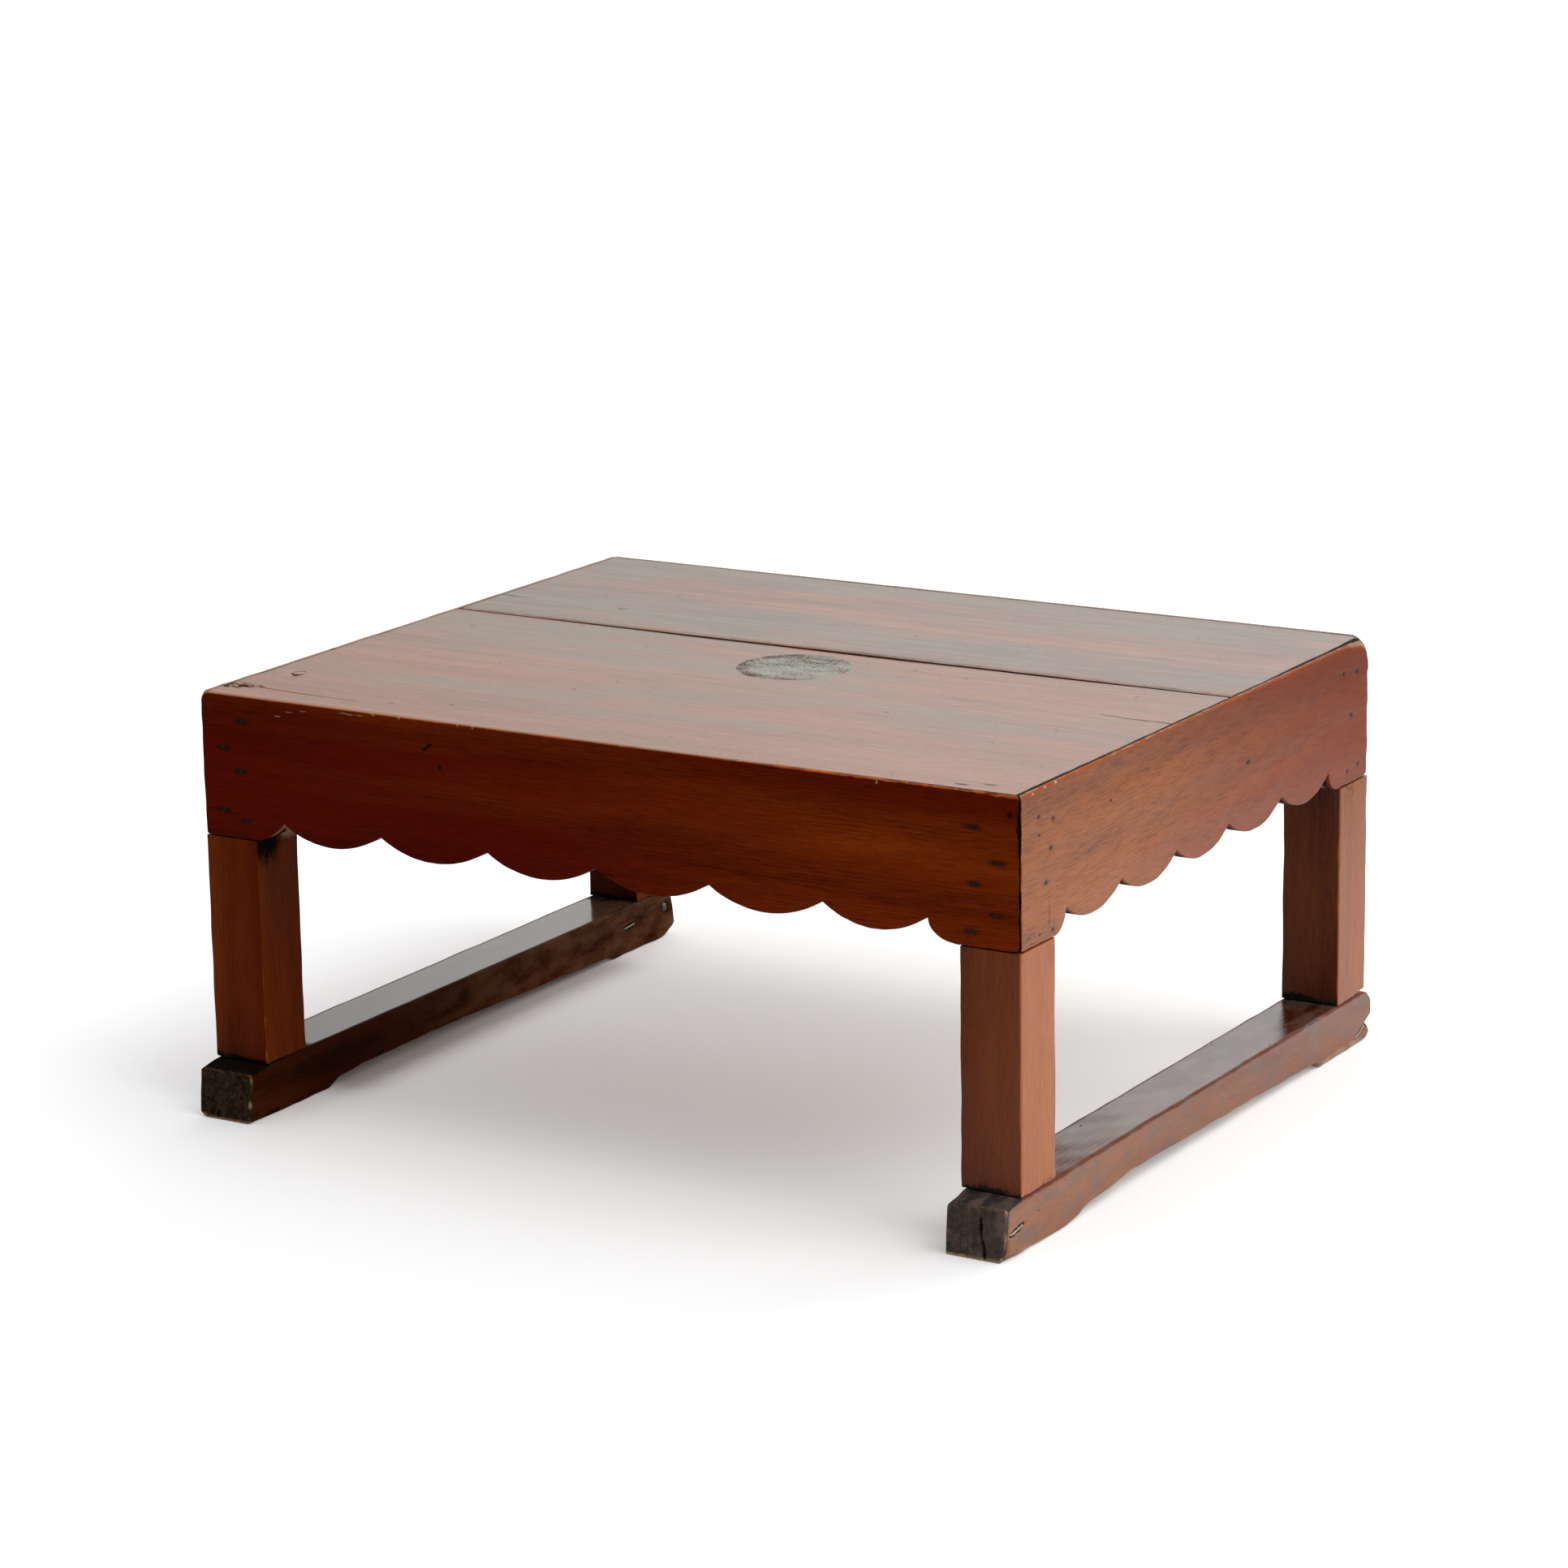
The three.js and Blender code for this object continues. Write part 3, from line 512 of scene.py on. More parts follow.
def leg(y_name, x_name, wood, painted_face_shade, foot_lift, seed):
    """One leg: an eased block. Above the shoulder its section is drawn in towards the inner
    corner by the rebate, and below the foot it is drawn in all round to the tenon. Its shoulder
    stands clear of the runner by the foot lift at the rear right. Deepness is how much painted
    shade darkens every face of it but the right one."""
    node = f"leg_{y_name}_{x_name}"
    low, high = (np.array(corner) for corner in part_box(node))
    middle = (low + high) / 2
    size = high - low
    outer = np.array([np.sign(middle[0]), np.sign(middle[1])])
    xs = places(low[0], high[0], 0.003, edge_steps, (low[0], high[0]))
    ys = places(low[1], high[1], 0.003, edge_steps, (low[1], high[1]))
    steps = (leg_foot, leg_foot - 0.0002, shoulder - 0.001, shoulder, shoulder + 0.0002)
    zs = places(low[2], high[2], 0.0024, edge_steps, (leg_foot,), steps)
    points, quads = block(xs, ys, zs)
    start = points.copy()
    above = start[:, 2] > leg_foot - 1e-5
    radius = 0.0015 * (1 + 0.4 * ripple(points, (0.02, 0.02, 0.035), seed))
    low_end = np.array([low[0], low[1], leg_foot])
    high_end = np.array([high[0], high[1], high[2] + 1])
    points[above] = eased(points[above], low_end, high_end, np.clip(radius, 0.0006, 0.005)[above])
    hollowing = 0.0002 * (1 + ripple(points, (0.03, 0.03, 0.1), seed + 1))
    points[:, :2] -= (points[:, :2] - middle[:2]) / size[:2] * 2 * hollowing[:, None]
    in_rebate = (start[:, 2] > shoulder + 1e-5)[:, None]
    inner = middle[:2] - outer * size[:2] / 2
    points[:, :2] = np.where(in_rebate, inner + (points[:, :2] - inner) * (1 - rebate / size[:2]), points[:, :2])
    tenon = 1 - 2 * tenon_shoulder / size[:2]
    points[:, :2] = np.where(above[:, None], points[:, :2], middle[:2] + (start[:, :2] - middle[:2]) * tenon)

    foot_height = points[:, 2] - leg_foot
    lifted = foot_lift * rise(start[:, 1], middle[1], high[1]) * rise(start[:, 0], middle[0], high[0])
    points[:, 2] += above * lifted * hill(foot_height, 0.01)

    to_side = np.minimum(np.abs(start[:, :2] - low[:2]), np.abs(start[:, :2] - high[:2]))
    arris = hill(to_side.max(axis=1), 0.001)
    worn = arris * (0.2 + 0.55 * ripple(start, (0.03, 0.03, 0.03), seed + 2))
    right_face = rise(start[:, 0], high[0] - 0.0012, high[0] - 0.0002)
    inner_face = right_face * (outer[0] < 0)
    from_front = start[:, 1] - low[1]
    # Darker for 4 cm below the shoulder, most on the front part of the inner face.
    dark_below_shoulder = rise(start[:, 2], shoulder - 0.04, shoulder) * (0.3 + 0.6 * inner_face * rise(from_front, 0.04, 0.01))
    foot_dirt = hill(foot_height, 0.006) * (0.95 - 0.6 * right_face) * (1 + 0.3 * ripple(start, 0.02, seed + 4))
    soil = np.maximum(dark_below_shoulder, foot_dirt) + 0.08 * ripple(start, (0.03, 0.03, 0.12), seed + 3)
    bare = inner_face * rise(start[:, 2], shoulder - 0.012, shoulder) * rise(from_front, 0.025, 0.035) * 0.75
    bare = np.maximum(bare, inner_face * (outer[1] > 0) * rise(foot_height, 0.12, 0.02) * 0.3)
    # Painted light and shade: the right faces are made lighter and the other faces darker, by the leg's painted face
    # shade, most on the rear legs; the darkening grows towards the foot.
    thin_and_painted_light = right_face * (outer[0] > 0) * (0.8 - 0.5 * (outer[1] > 0)) + inner_face * 0.4
    deep_and_painted_shade = (1 - right_face) * (painted_face_shade + 0.3 * hill(foot_height, 0.06)) + inner_face * 0.2
    marks = {"worn": worn, "soil": soil, "thin_and_painted_light": thin_and_painted_light, "deep_and_painted_shade": deep_and_painted_shade, "bare": bare}
    piece(node + "_worn", points, quads, wood, "side_wood", [node], **marks)


for y_name, x_name, pith, painted_face_shade, foot_lift, seed in (
    ("front", "left", (-0.30, -0.36, 0.0), 0.2, 0.0, 31),
    ("front", "right", (0.43, -0.36, 0.0), 0.1, 0.0, 37),
    ("rear", "left", (-0.28, 0.22, 0.0), 0.5, 0.0, 41),
    ("rear", "right", (0.30, 0.24, 0.0), 0.6, 0.0022, 43),
):
    leg_wood = old_wood(
        f"leg_wood_{y_name}_{x_name}",
        "Z",
        leg_tones if x_name == "right" else dark_leg_tones,
        pith=pith,
        ring=0.0022,
        shares=(0.15, 0.35, 0.35),
        roughness=0.34,
        specular=0.5 if x_name == "right" else 0.05,
    )
    leg(y_name, x_name, leg_wood, painted_face_shade, foot_lift, seed)

# Aprons
# Four softwood boards on edge, mitred at the corners and nailed to the legs, with a thin lip that
# stands round the top boards. The lower edge was sawn into lobes by eye, so no two are quite the
# same. The top arris is rubbed to bare orange wood, and the corners are worn round.

nail_spots = {
    ("front", -1): [(-0.3345, 0.3301), (-0.3534, 0.3072), (-0.3372, 0.2891), (-0.3562, 0.2559), (-0.3339, 0.2485)],
    ("front", 1): [(0.3348, 0.3245), (0.3541, 0.2993), (0.3352, 0.2812), (0.3539, 0.2596), (0.3335, 0.2444)],
    ("right", -1): [(-0.2773, 0.3304), (-0.2543, 0.3241), (-0.2581, 0.3025), (-0.266, 0.2777), (-0.2552, 0.2391)],
    ("right", 1): [(0.2562, 0.3293), (0.2823, 0.3262), (0.2709, 0.2913), (0.2852, 0.247), (0.2648, 0.2445)],
    ("rear", -1): [(-0.333, 0.3281), (-0.3551, 0.3079), (-0.335, 0.2852), (-0.3532, 0.2651), (-0.3347, 0.2472)],
    ("rear", 1): [(0.3353, 0.3248), (0.3538, 0.305), (0.3328, 0.287), (0.355, 0.2668), (0.3345, 0.2459)],
    ("left", -1): [(-0.2655, 0.319), (-0.2841, 0.2963), (-0.2633, 0.279), (-0.2858, 0.2572), (-0.265, 0.2388)],
    ("left", 1): [(0.2637, 0.3165), (0.2849, 0.2984), (0.2652, 0.2769), (0.2838, 0.2583), (0.2661, 0.2372)],
}
lip = 0.004
board_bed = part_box("top_board_front")[0].z - 0.0003
table_low = np.array(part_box("left_apron")[0][:1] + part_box("front_apron")[0][1:2] + (-1.0,))
table_high = np.array(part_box("right_apron")[1][:1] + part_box("rear_apron")[1][1:])
worn_corners = [(-1, -1, 0.0085, 0.013), (1, 1, 0.016, 0.026), (-1, 1, 0.006, 0.004), (1, -1, 0.007, 0.0035)]
cusp_height = 0.0185
lobe_lift = 0.003


def corner_wear(points):
    """How round the outer edges of the frame are worn at each place: a little everywhere, and
    more along the side edges and near the front right corner."""
    x, y, _ = points.T
    side = rise(np.abs(x), 0.33, 0.372)
    radius = 0.001 + 0.0005 * side + 0.001 * rise(x, 0.1, 0.37) * rise(y, -0.27, -0.29)
    return np.clip(radius * (1 + 0.3 * ripple(points, 0.035, 51)), 0.0006, 0.004)


def front_seam_open(points):
    """How far the seam behind the front lip has opened at each place: towards the right end."""
    return rise(points[:, 0], 0.19, 0.3) * rise(points[:, 1], -0.2, -0.25)


def frame_eased(points):
    """Rounds the outer edges of the frame and the boards in it together. Then it wears down the
    corners: within its reach a corner drops along a quarter of an ellipse, and what lies below is
    pressed together by less and less."""
    points = eased(points, table_low, table_high, corner_wear(points))
    for x_side, y_side, reach, depth in worn_corners:
        corner = np.where([x_side > 0, y_side > 0], table_high[:2], table_low[:2])
        near = np.clip(1 - np.linalg.norm(points[:, :2] - corner, axis=1) / reach, 0, 1)
        drop = depth * (1 - np.sqrt(1 - near**2)) * (1 + 0.08 * ripple(points, 0.008, 57))
        points[:, 2] -= drop * rise(table_high[2] - points[:, 2], 3 * depth, 0)
    return points


def scallops(x, cusps, end, fullness):
    """The height of the lower edge at each x: an arc that hangs between each two cusps, and from
    the last cusp down to the leg a quarter curve: round where the fullness is 2, flatter below."""
    gap = np.clip(np.searchsorted(cusps, x, side="right") - 1, 0, len(cusps) - 2)
    width = cusps[gap + 1] - cusps[gap]
    sag = cusp_height - lobe_lift
    radius = (width**2 / 4 + sag**2) / (2 * sag)
    across = np.clip(x - (cusps[gap] + cusps[gap + 1]) / 2, -width / 2, width / 2)
    arc = lobe_lift + radius - np.sqrt(radius**2 - across**2)
    beyond = np.maximum(cusps[0] - x, x - cusps[-1])
    run = end - np.where(x < 0, -cusps[0], cusps[-1])
    share = np.clip(1 - beyond / run, 0, 1)
    power = np.where(x < 0, *fullness)
    return np.where(beyond > 0, cusp_height * (1 - (1 - share**power) ** (1 / power)), arc)


def apron(side, turn, cusps, leg_size, mitre_gaps, wood, seed, fullness=(2.0, 2.0)):
    """One apron, made as if it were at the front and then turned: an eased block, cut along the
    scallops below, with a rebate behind the lip above and mitred ends."""
    node = f"{side}_apron"
    low, high = (np.array(corner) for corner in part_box(node))
    long_axis = 0 if side in ("front", "rear") else 1
    length = high[long_axis] - low[long_axis]
    thick = high[1 - long_axis] - low[1 - long_axis]
    height = high[2] - low[2]
    half = length / 2
    cusps = np.array(cusps)
    flip = -1 if turn in (180, -90) else 1
    spots = [(flip * along, up - low[2]) for (name, _), pairs in nail_spots.items() if name == side for along, up in pairs]
    spot_x, spot_z = np.array(spots).T
    wide_steps = edge_steps + (0.005, 0.0068, 0.009, 0.012)
    xs = places(-half, half, 0.00175, wide_steps, (-half, half), list(cusps))
    ys = places(0.0, thick, 0.0035, edge_steps, (0.0, thick), (lip, lip + 0.0002, lip + 0.001))
    shares = places(0.0, height, 0.0019, wide_steps, (0.0, height)) / height
    points, quads = block(xs, ys, shares)
    start = points.copy()
    x, y, share = start.T
    top = np.where(y < lip + 1e-5, height, board_bed - low[2])
    base = np.where(np.abs(x) > half - leg_size + 1e-6, 0.0004, scallops(x, cusps, half - leg_size, fullness))
    level = share * (top - base)

    gap = np.where(x < 0, mitre_gaps[0], mitre_gaps[1]) * rise(np.abs(x), half - 0.02, half)
    local = np.stack([x * (1 - gap / half), y, level], axis=1)
    block_low = np.array([-half, 0.0, 0.0])
    block_high = np.array([half, thick, 1.0])
    open_end = np.where(x < 0, mitre_gaps[0], mitre_gaps[1]) / 0.0008
    radius = 0.0011 + 0.0006 * rise(level, 0.01, 0.0) + (0.0003 + 0.0003 * open_end) * ripple(local, 0.02, seed)
    radius = radius + 0.0012 * open_end * hill(half - np.abs(x), 0.004)
    local = eased(local, block_low, block_high, np.clip(radius, 0.0005, 0.0035))
    x, y, level = local.T
    x = x - np.sign(x) * y * rise(np.abs(x), half - 0.05, half)
    z = base + level
    away = np.hypot(x[:, None] - spot_x, z[:, None] - spot_z)
    dimple = hill(away, 0.0022).sum(axis=1)
    face = rise(start[:, 1], thick / 2, 0.0)
    uneven = 0.00012 * (1 + ripple(start, (0.12, 0.05, 0.3), seed + 1))
    y = y + face * (0.00015 + uneven + 0.0005 * dimple)

    radians = math.radians(turn)
    outward = np.array([math.sin(radians), -math.cos(radians)])
    lengthwise = np.array([math.cos(radians), math.sin(radians)])
    reach = 0.375 if long_axis == 1 else (table_high[1] - table_low[1]) / 2
    flat = outward * (reach - y)[:, None] + lengthwise * x[:, None] + np.array([0.0, table_middle])
    points = np.column_stack([flat, z + low[2]])
    points = frame_eased(points)
    if side == "right":
        crushed = rise(flat[:, 1], 0.262, 0.302) * rise(z, height - 0.02, height)
        points[:, 2] -= 0.0055 * crushed * (1 - 0.8 * rise(y, 0.0006, 0.0034))

    world = np.column_stack([flat, z + low[2]])
    from_top = height - z
    on_lip = rise(z, height - 0.0012, height - 0.0004) * (y < lip + 0.0003)
    rubbed_lip = rise(world[:, 0], 0.08, 0.22) * (0.85 if side in ("front", "right") else 0.0)
    arris_width = (0.0006 + 0.45 * corner_wear(world)) * (1.5 if side == "right" else 1.0)
    arris = hill(np.hypot(np.maximum(y, 0), from_top), arris_width) * hill(y, 0.0012)
    rubbed = {"front": 0.8 + 0.15 * rise(x, -0.34, -0.25), "right": 0.95}.get(side, -0.3)
    worn = arris * (rubbed + 0.25 * ripple(world, 0.012, seed + 2)) * face
    worn = np.maximum(worn, on_lip * rubbed_lip * (0.6 + 0.35 * ripple(world, 0.012, seed + 3)))
    nick = rise(ripple(world, (0.009, 0.009, 0.02), seed + 4), 1.3, 1.7)
    bare = nick * hill(from_top, 0.003) * face * 0.8 + (1 - face) * 0.55
    putty = rise(world[:, 0] + world[:, 1], 0.632, 0.655) * rise(from_top, 0.012, 0.004)
    putty = putty * (0.55 + 0.2 * ripple(world, 0.004, seed + 7))
    bare = np.maximum(bare, putty * (side == "right") * rise(y, 0.0004, 0.0012))
    band = hill(from_top - 0.006, 0.0045) * 0.3
    seam = hill(half - np.abs(x) - y, 0.0016) * (0.3 + open_end * (0.45 + 0.4 * ripple(world, 0.015, seed + 5)))
    seam = seam + open_end * hill(half - np.abs(x) - y, 0.003) * 0.5 * hill(from_top - 0.024, 0.012)
    # Painted shade: a dark band along the foot of the outer face where it meets the leg's shoulder.
    shoulder_shade = hill(z, 0.0018) * rise(np.abs(x), half - leg_size - 0.002, half - leg_size) * 0.5
    # Painted shade along the lower edge of the lobes.
    lobe_edge = hill(np.hypot(y, z - base), 0.0011) * (0.35 + 0.3 * ripple(world, 0.03, seed + 6))
    soil = np.maximum.reduce([band, seam, shoulder_shade, lobe_edge]) * face
    # Painted shade: the back of the lip near its top and, where the seam is open, the rebate behind it are made black
    # as the inside of the gap.
    lip_gap_shade = hill(y - lip, 0.0013) * rise(from_top, 0.002, 0.0005)
    seam_open = np.maximum(front_seam_open(world), rise(world[:, 0], 0.36, 0.37))
    soil = np.maximum(soil, lip_gap_shade * (0.4 + 0.6 * seam_open))
    soil = np.maximum(soil, rise(y, lip - 0.0002, lip + 0.0003) * hill(np.maximum(y - 0.008, 0), 0.002) * seam_open)
    patch = hill(np.hypot((x - 0.235) / 0.045, (z - 0.07) / 0.008), 1)
    thin_and_painted_light = {"front": 0.55 * rise(x, -0.1, 0.25) * rise(from_top, 0.01, 0.03) + 0.5 * patch, "right": rise(x, 0.2, -0.3)}
    thin_and_painted_light = thin_and_painted_light.get(side, 0 * x)
    faded = on_lip * (1 - rubbed_lip)
    if side in ("rear", "left"):
        faded = np.maximum(faded, rise(z, height - 0.004, height - 0.0015) * (y < lip + 0.0003))
    deep_and_painted_shade = 0.5 * (side == "front") * rise(x, -0.2, -0.35) * rise(from_top, 0.06, 0.0)
    marks = {"worn": worn, "bare": bare, "soil": soil, "thin_and_painted_light": thin_and_painted_light, "faded": faded, "deep_and_painted_shade": deep_and_painted_shade}
    piece(node + "_worn", points, quads, wood, "side_wood", [node], **marks)


front_cusps = (-0.298, -0.2016, -0.0997, 0.0021, 0.1047, 0.2056, 0.2962)
side_cusps = (-0.2337, -0.1428, -0.0493, 0.0425, 0.1395, 0.2286)
dark_tones = [(0.36, 0.055, 0.003), (0.16, 0.007, 0.0002), (0.055, 0.002, 0.0001), (0.5, 0.13, 0.015)]
bright_tones = [(0.46, 0.125, 0.014), (0.3, 0.045, 0.003), (0.1, 0.012, 0.001), (0.36, 0.075, 0.006)]
apron_looks = {
    "front": ("X", dark_tones, (0, 0.1, -0.25), 0.0023, (0.2, 0.5, 0.55), 0.34, 0.05),
    "right": ("Y", bright_tones, (0.5, 0, -0.15), 0.0017, (0.3, 0.6, 0.35), 0.36, 0.5),
    "rear": ("X", dark_tones, (0, 0.5, -0.2), 0.0023, (0.2, 0.5, 0.3), 0.34, 0.2),
    "left": ("Y", dark_tones, (-0.5, 0, -0.15), 0.002, (0.3, 0.4, 0.4), 0.36, 0.3),
}
apron_wood = {side: old_wood(f"{side}_apron_wood", *look) for side, look in apron_looks.items()}
face_of = {
    "front": (1, table_low[1]),
    "rear": (1, table_high[1]),
    "left": (0, table_low[0]),
    "right": (0, table_high[0]),
}


def on_face(side, spots):
    """Places on the outer face of an apron, from pairs of the place along it and the height."""
    axis, depth = face_of[side]
    if axis == 1:
        return [(along, depth, up) for along, up in spots]
    return [(depth, along + table_middle, up) for along, up in spots]


halo = (0.014, 0.011, 0.006)
rust_black = (0.006, 0.005, 0.005)
for side, wood in apron_wood.items():
    spots = on_face(side, [spot for (name, _), pairs in nail_spots.items() if name == side for spot in pairs])
    long = face_of[side][0] == 1
    stain(wood, spots, (0.01, 0.004, 0.0036) if long else (0.004, 0.0045, 0.003), halo, 0.5, 0.9, 0.8 if long else 0.65)
    stain(wood, spots, (0.0026, 0.003, 0.0014) if long else (0.003, 0.0016, 0.0013), rust_black, 0.6, 0.6)
front_wood = apron_wood["front"]
right_wood = apron_wood["right"]
front_smudges = on_face("front", [(-0.1408, 0.3147), (0.3663, 0.3369), (0.373, 0.326), (0.374, 0.316)])
stain(front_wood, front_smudges, (0.0026, 0.003, 0.003), (0.014, 0.008, 0.004), 0.5, 0.9)
gouge = on_face("front", [(-0.1553, 0.3278), (-0.1535, 0.329), (-0.1515, 0.3303), (-0.1495, 0.332)])
stain(front_wood, gouge, (0.0024, 0.003, 0.0013), (0.005, 0.002, 0.001), 0.7, 0.3)
split_line = on_face("front", [(-0.363, 0.2555), (-0.345, 0.2535)])
stain(front_wood, split_line, (0.013, 0.003, 0.0005), (0.006, 0.004, 0.003), 0.7, 0.5)
scuffs = [(-0.2974, 0.339), (-0.286, 0.3435), (-0.272, 0.3457), (-0.232, 0.3485), (-0.2275, 0.348), (-0.216, 0.3483)]
stain(front_wood, on_face("front", scuffs), (0.0035, 0.003, 0.0005), (0.5, 0.32, 0.22), 0.6, 2.2, 0.8)
nicks = [(-0.1785, 0.351), (-0.1226, 0.3508), (-0.1085, 0.3505), (0.2544, 0.349)]
stain(front_wood, on_face("front", nicks), (0.0011, 0.003, 0.0018), (0.6, 0.32, 0.15), 0.6, 0.5)
right_marks = on_face("right", [(-0.2757, 0.3161), (-0.2757, 0.24), (0.0755, 0.294), (-0.162, 0.3165)])
stain(right_wood, right_marks, (0.003, 0.0026, 0.0016), (0.02, 0.014, 0.01), 0.6, 0.8)
stain(right_wood, right_marks[2:3], (0.003, 0.0055, 0.003), (0.02, 0.014, 0.01), 0.6, 0.9)
stain(right_wood, on_face("right", [(-0.261, 0.25)]), (0.003, 0.0006, 0.016), (0.01, 0.006, 0.004), 0.7, 0.6)
stain(right_wood, on_face("right", [(0.2638, 0.3435)]), (0.003, 0.0006, 0.0042), (0.02, 0.012, 0.009), 0.7, 0.6)
dark_strokes = on_face("right", [(-0.292, 0.2415), (-0.2895, 0.2365), (-0.293, 0.2305), (-0.2875, 0.2275)])
stain(right_wood, dark_strokes, (0.003, 0.004, 0.0005), (0.02, 0.01, 0.006), 0.7, 0.8)
right_chips = [(-0.286, 0.3495), (-0.2665, 0.3505), (-0.25, 0.3505)]
stain(right_wood, on_face("right", right_chips), (0.003, 0.0022, 0.0012), (0.6, 0.38, 0.22), 0.6, 1.6)
crumbled = [(0.3715, 0.28, 0.349), (0.3715, 0.291, 0.3475), (0.3715, 0.301, 0.345), (0.37, 0.307, 0.343)]
stain(right_wood, crumbled, (0.0035, 0.008, 0.0045), (0.34, 0.23, 0.15), 0.95, 1.4, 0.8)
stain(right_wood, [(0.3675, 0.307, 0.349), (0.3735, 0.31, 0.342)], (0.003, 0.003, 0.003), (0.02, 0.01, 0.007), 1.0, 0.7)
for side in ("rear", "left"):
    greyed = sums(apron_wood[side].node_tree, "MULTIPLY", mark_of(apron_wood[side].node_tree, "faded"), 0.6)
    cover(apron_wood[side], greyed, (0.24, 0.17, 0.115))
torn_lip = [(-0.3735, -0.2725, table_high[2])]
stain(apron_wood["left"], torn_lip, (0.004, 0.006, 0.004), (0.4, 0.26, 0.16), 0.9, 1.2)
stain(apron_wood["left"], torn_lip, (0.003, 0.0035, 0.004), (0.03, 0.014, 0.008), 1.0, 2.0)
left_chip = [(-0.3745, -0.124, table_high[2])]
stain(apron_wood["left"], left_chip, (0.006, 0.005, 0.003), (0.01, 0.006, 0.004), 0.8, 0.6)
front_leg = 0.052
side_leg = 0.054
apron("front", 0, front_cusps, front_leg, (0.0002, 0.0009), apron_wood["front"], 61, (1.3, 2.0))
apron("right", 90, side_cusps, side_leg, (0.0009, 0.001), apron_wood["right"], 67)
apron("rear", 180, [-cusp for cusp in front_cusps[::-1]], front_leg, (0.0009, 0.0002), apron_wood["rear"], 71)
apron("left", -90, [-cusp for cusp in side_cusps[::-1]], side_leg, (0.0002, 0.0002), apron_wood["left"], 73)

# Battens
# Two sawn strips of bare softwood, nailed through the long aprons, carry the top boards.

batten_wood = old_wood(
    "batten_wood",
    "Y",
    [(0.5, 0.33, 0.19), (0.46, 0.28, 0.15), (0.3, 0.17, 0.09), (0.5, 0.33, 0.19)],
    pith=(0.0, 0.0, 0.2),
    ring=0.003,
    shares=(0.4, 0.3, 0.3),
    roughness=0.75,
    specular=0.2,
)
for x_name, seed in (("left", 81), ("right", 83)):
    low, high = (np.array(corner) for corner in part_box(f"batten_{x_name}"))
    xs = places(low[0], high[0], 0.003, edge_steps[:3], (low[0], high[0]))
    ys = places(low[1], high[1], 0.004, edge_steps[:3], (low[1], high[1]))
    zs = places(low[2], high[2], 0.003, edge_steps[:3], (low[2], high[2]))
    points, quads = block(xs, ys, zs)
    points = eased(points, low, high, 0.0008)
    saw_marks = 0.00015 * (1 + np.sin(points[:, 1] * 1400 + 6 * points[:, 2] / 0.03))
    points[:, 2] += saw_marks * (points[:, 2] < low[2] + 0.001)
    dust = 0.35 + 0.2 * ripple(points, (0.03, 0.1, 0.03), seed)
    piece(f"batten_{x_name}_sawn", points, quads, batten_wood, "bare_wood", [f"batten_{x_name}"], soil=dust)

# Top boards
# Two wide softwood boards, laid in the rebates of the aprons with the grain along the table. The
# gap between them has opened, the ends have split, a splinter has broken out at the front left
# corner, and a hot pot has left a round grey mark.

board_seam = 0.0003
gap_middle = (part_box("top_board_front")[1].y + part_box("top_board_rear")[0].y) / 2
top_height = table_high[2]
plug_low, plug_high = (np.array(corner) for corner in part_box("top_plug"))
plug_centre = (plug_low + plug_high)[:2] / 2
plug_radius = (plug_high - plug_low)[0] / 2
dents = [(-0.168, 0.253), (-0.138, 0.28), (-0.034, 0.077), (0.016, 0.078), (-0.053, 0.15), (0.21, -0.11), (-0.2, -0.19)]


pit_centre = np.array([-0.362, -0.2672])


def split(points, start, line, width, depth):
    """Opens a crack in the top along a line of two points: its open width runs out at the second
    point. Returns the drop of each point."""
    (x0, y0), (x1, y1) = line
    along = (points[:, 0] - x0) / (x1 - x0)
    wave = 0.0006 * np.sin(along * 9) * rise(along, 0.0, 0.15)
    centre = y0 + (y1 - y0) * along + wave
    open_width = width * np.clip(1 - along, 0, 1) ** 0.6 * (along > -0.05)
    across = np.abs(points[:, 1] - centre)
    return depth * np.clip(1 - across / np.maximum(open_width, 1e-6), 0, 1) ** 0.5 * (start > 0.5)


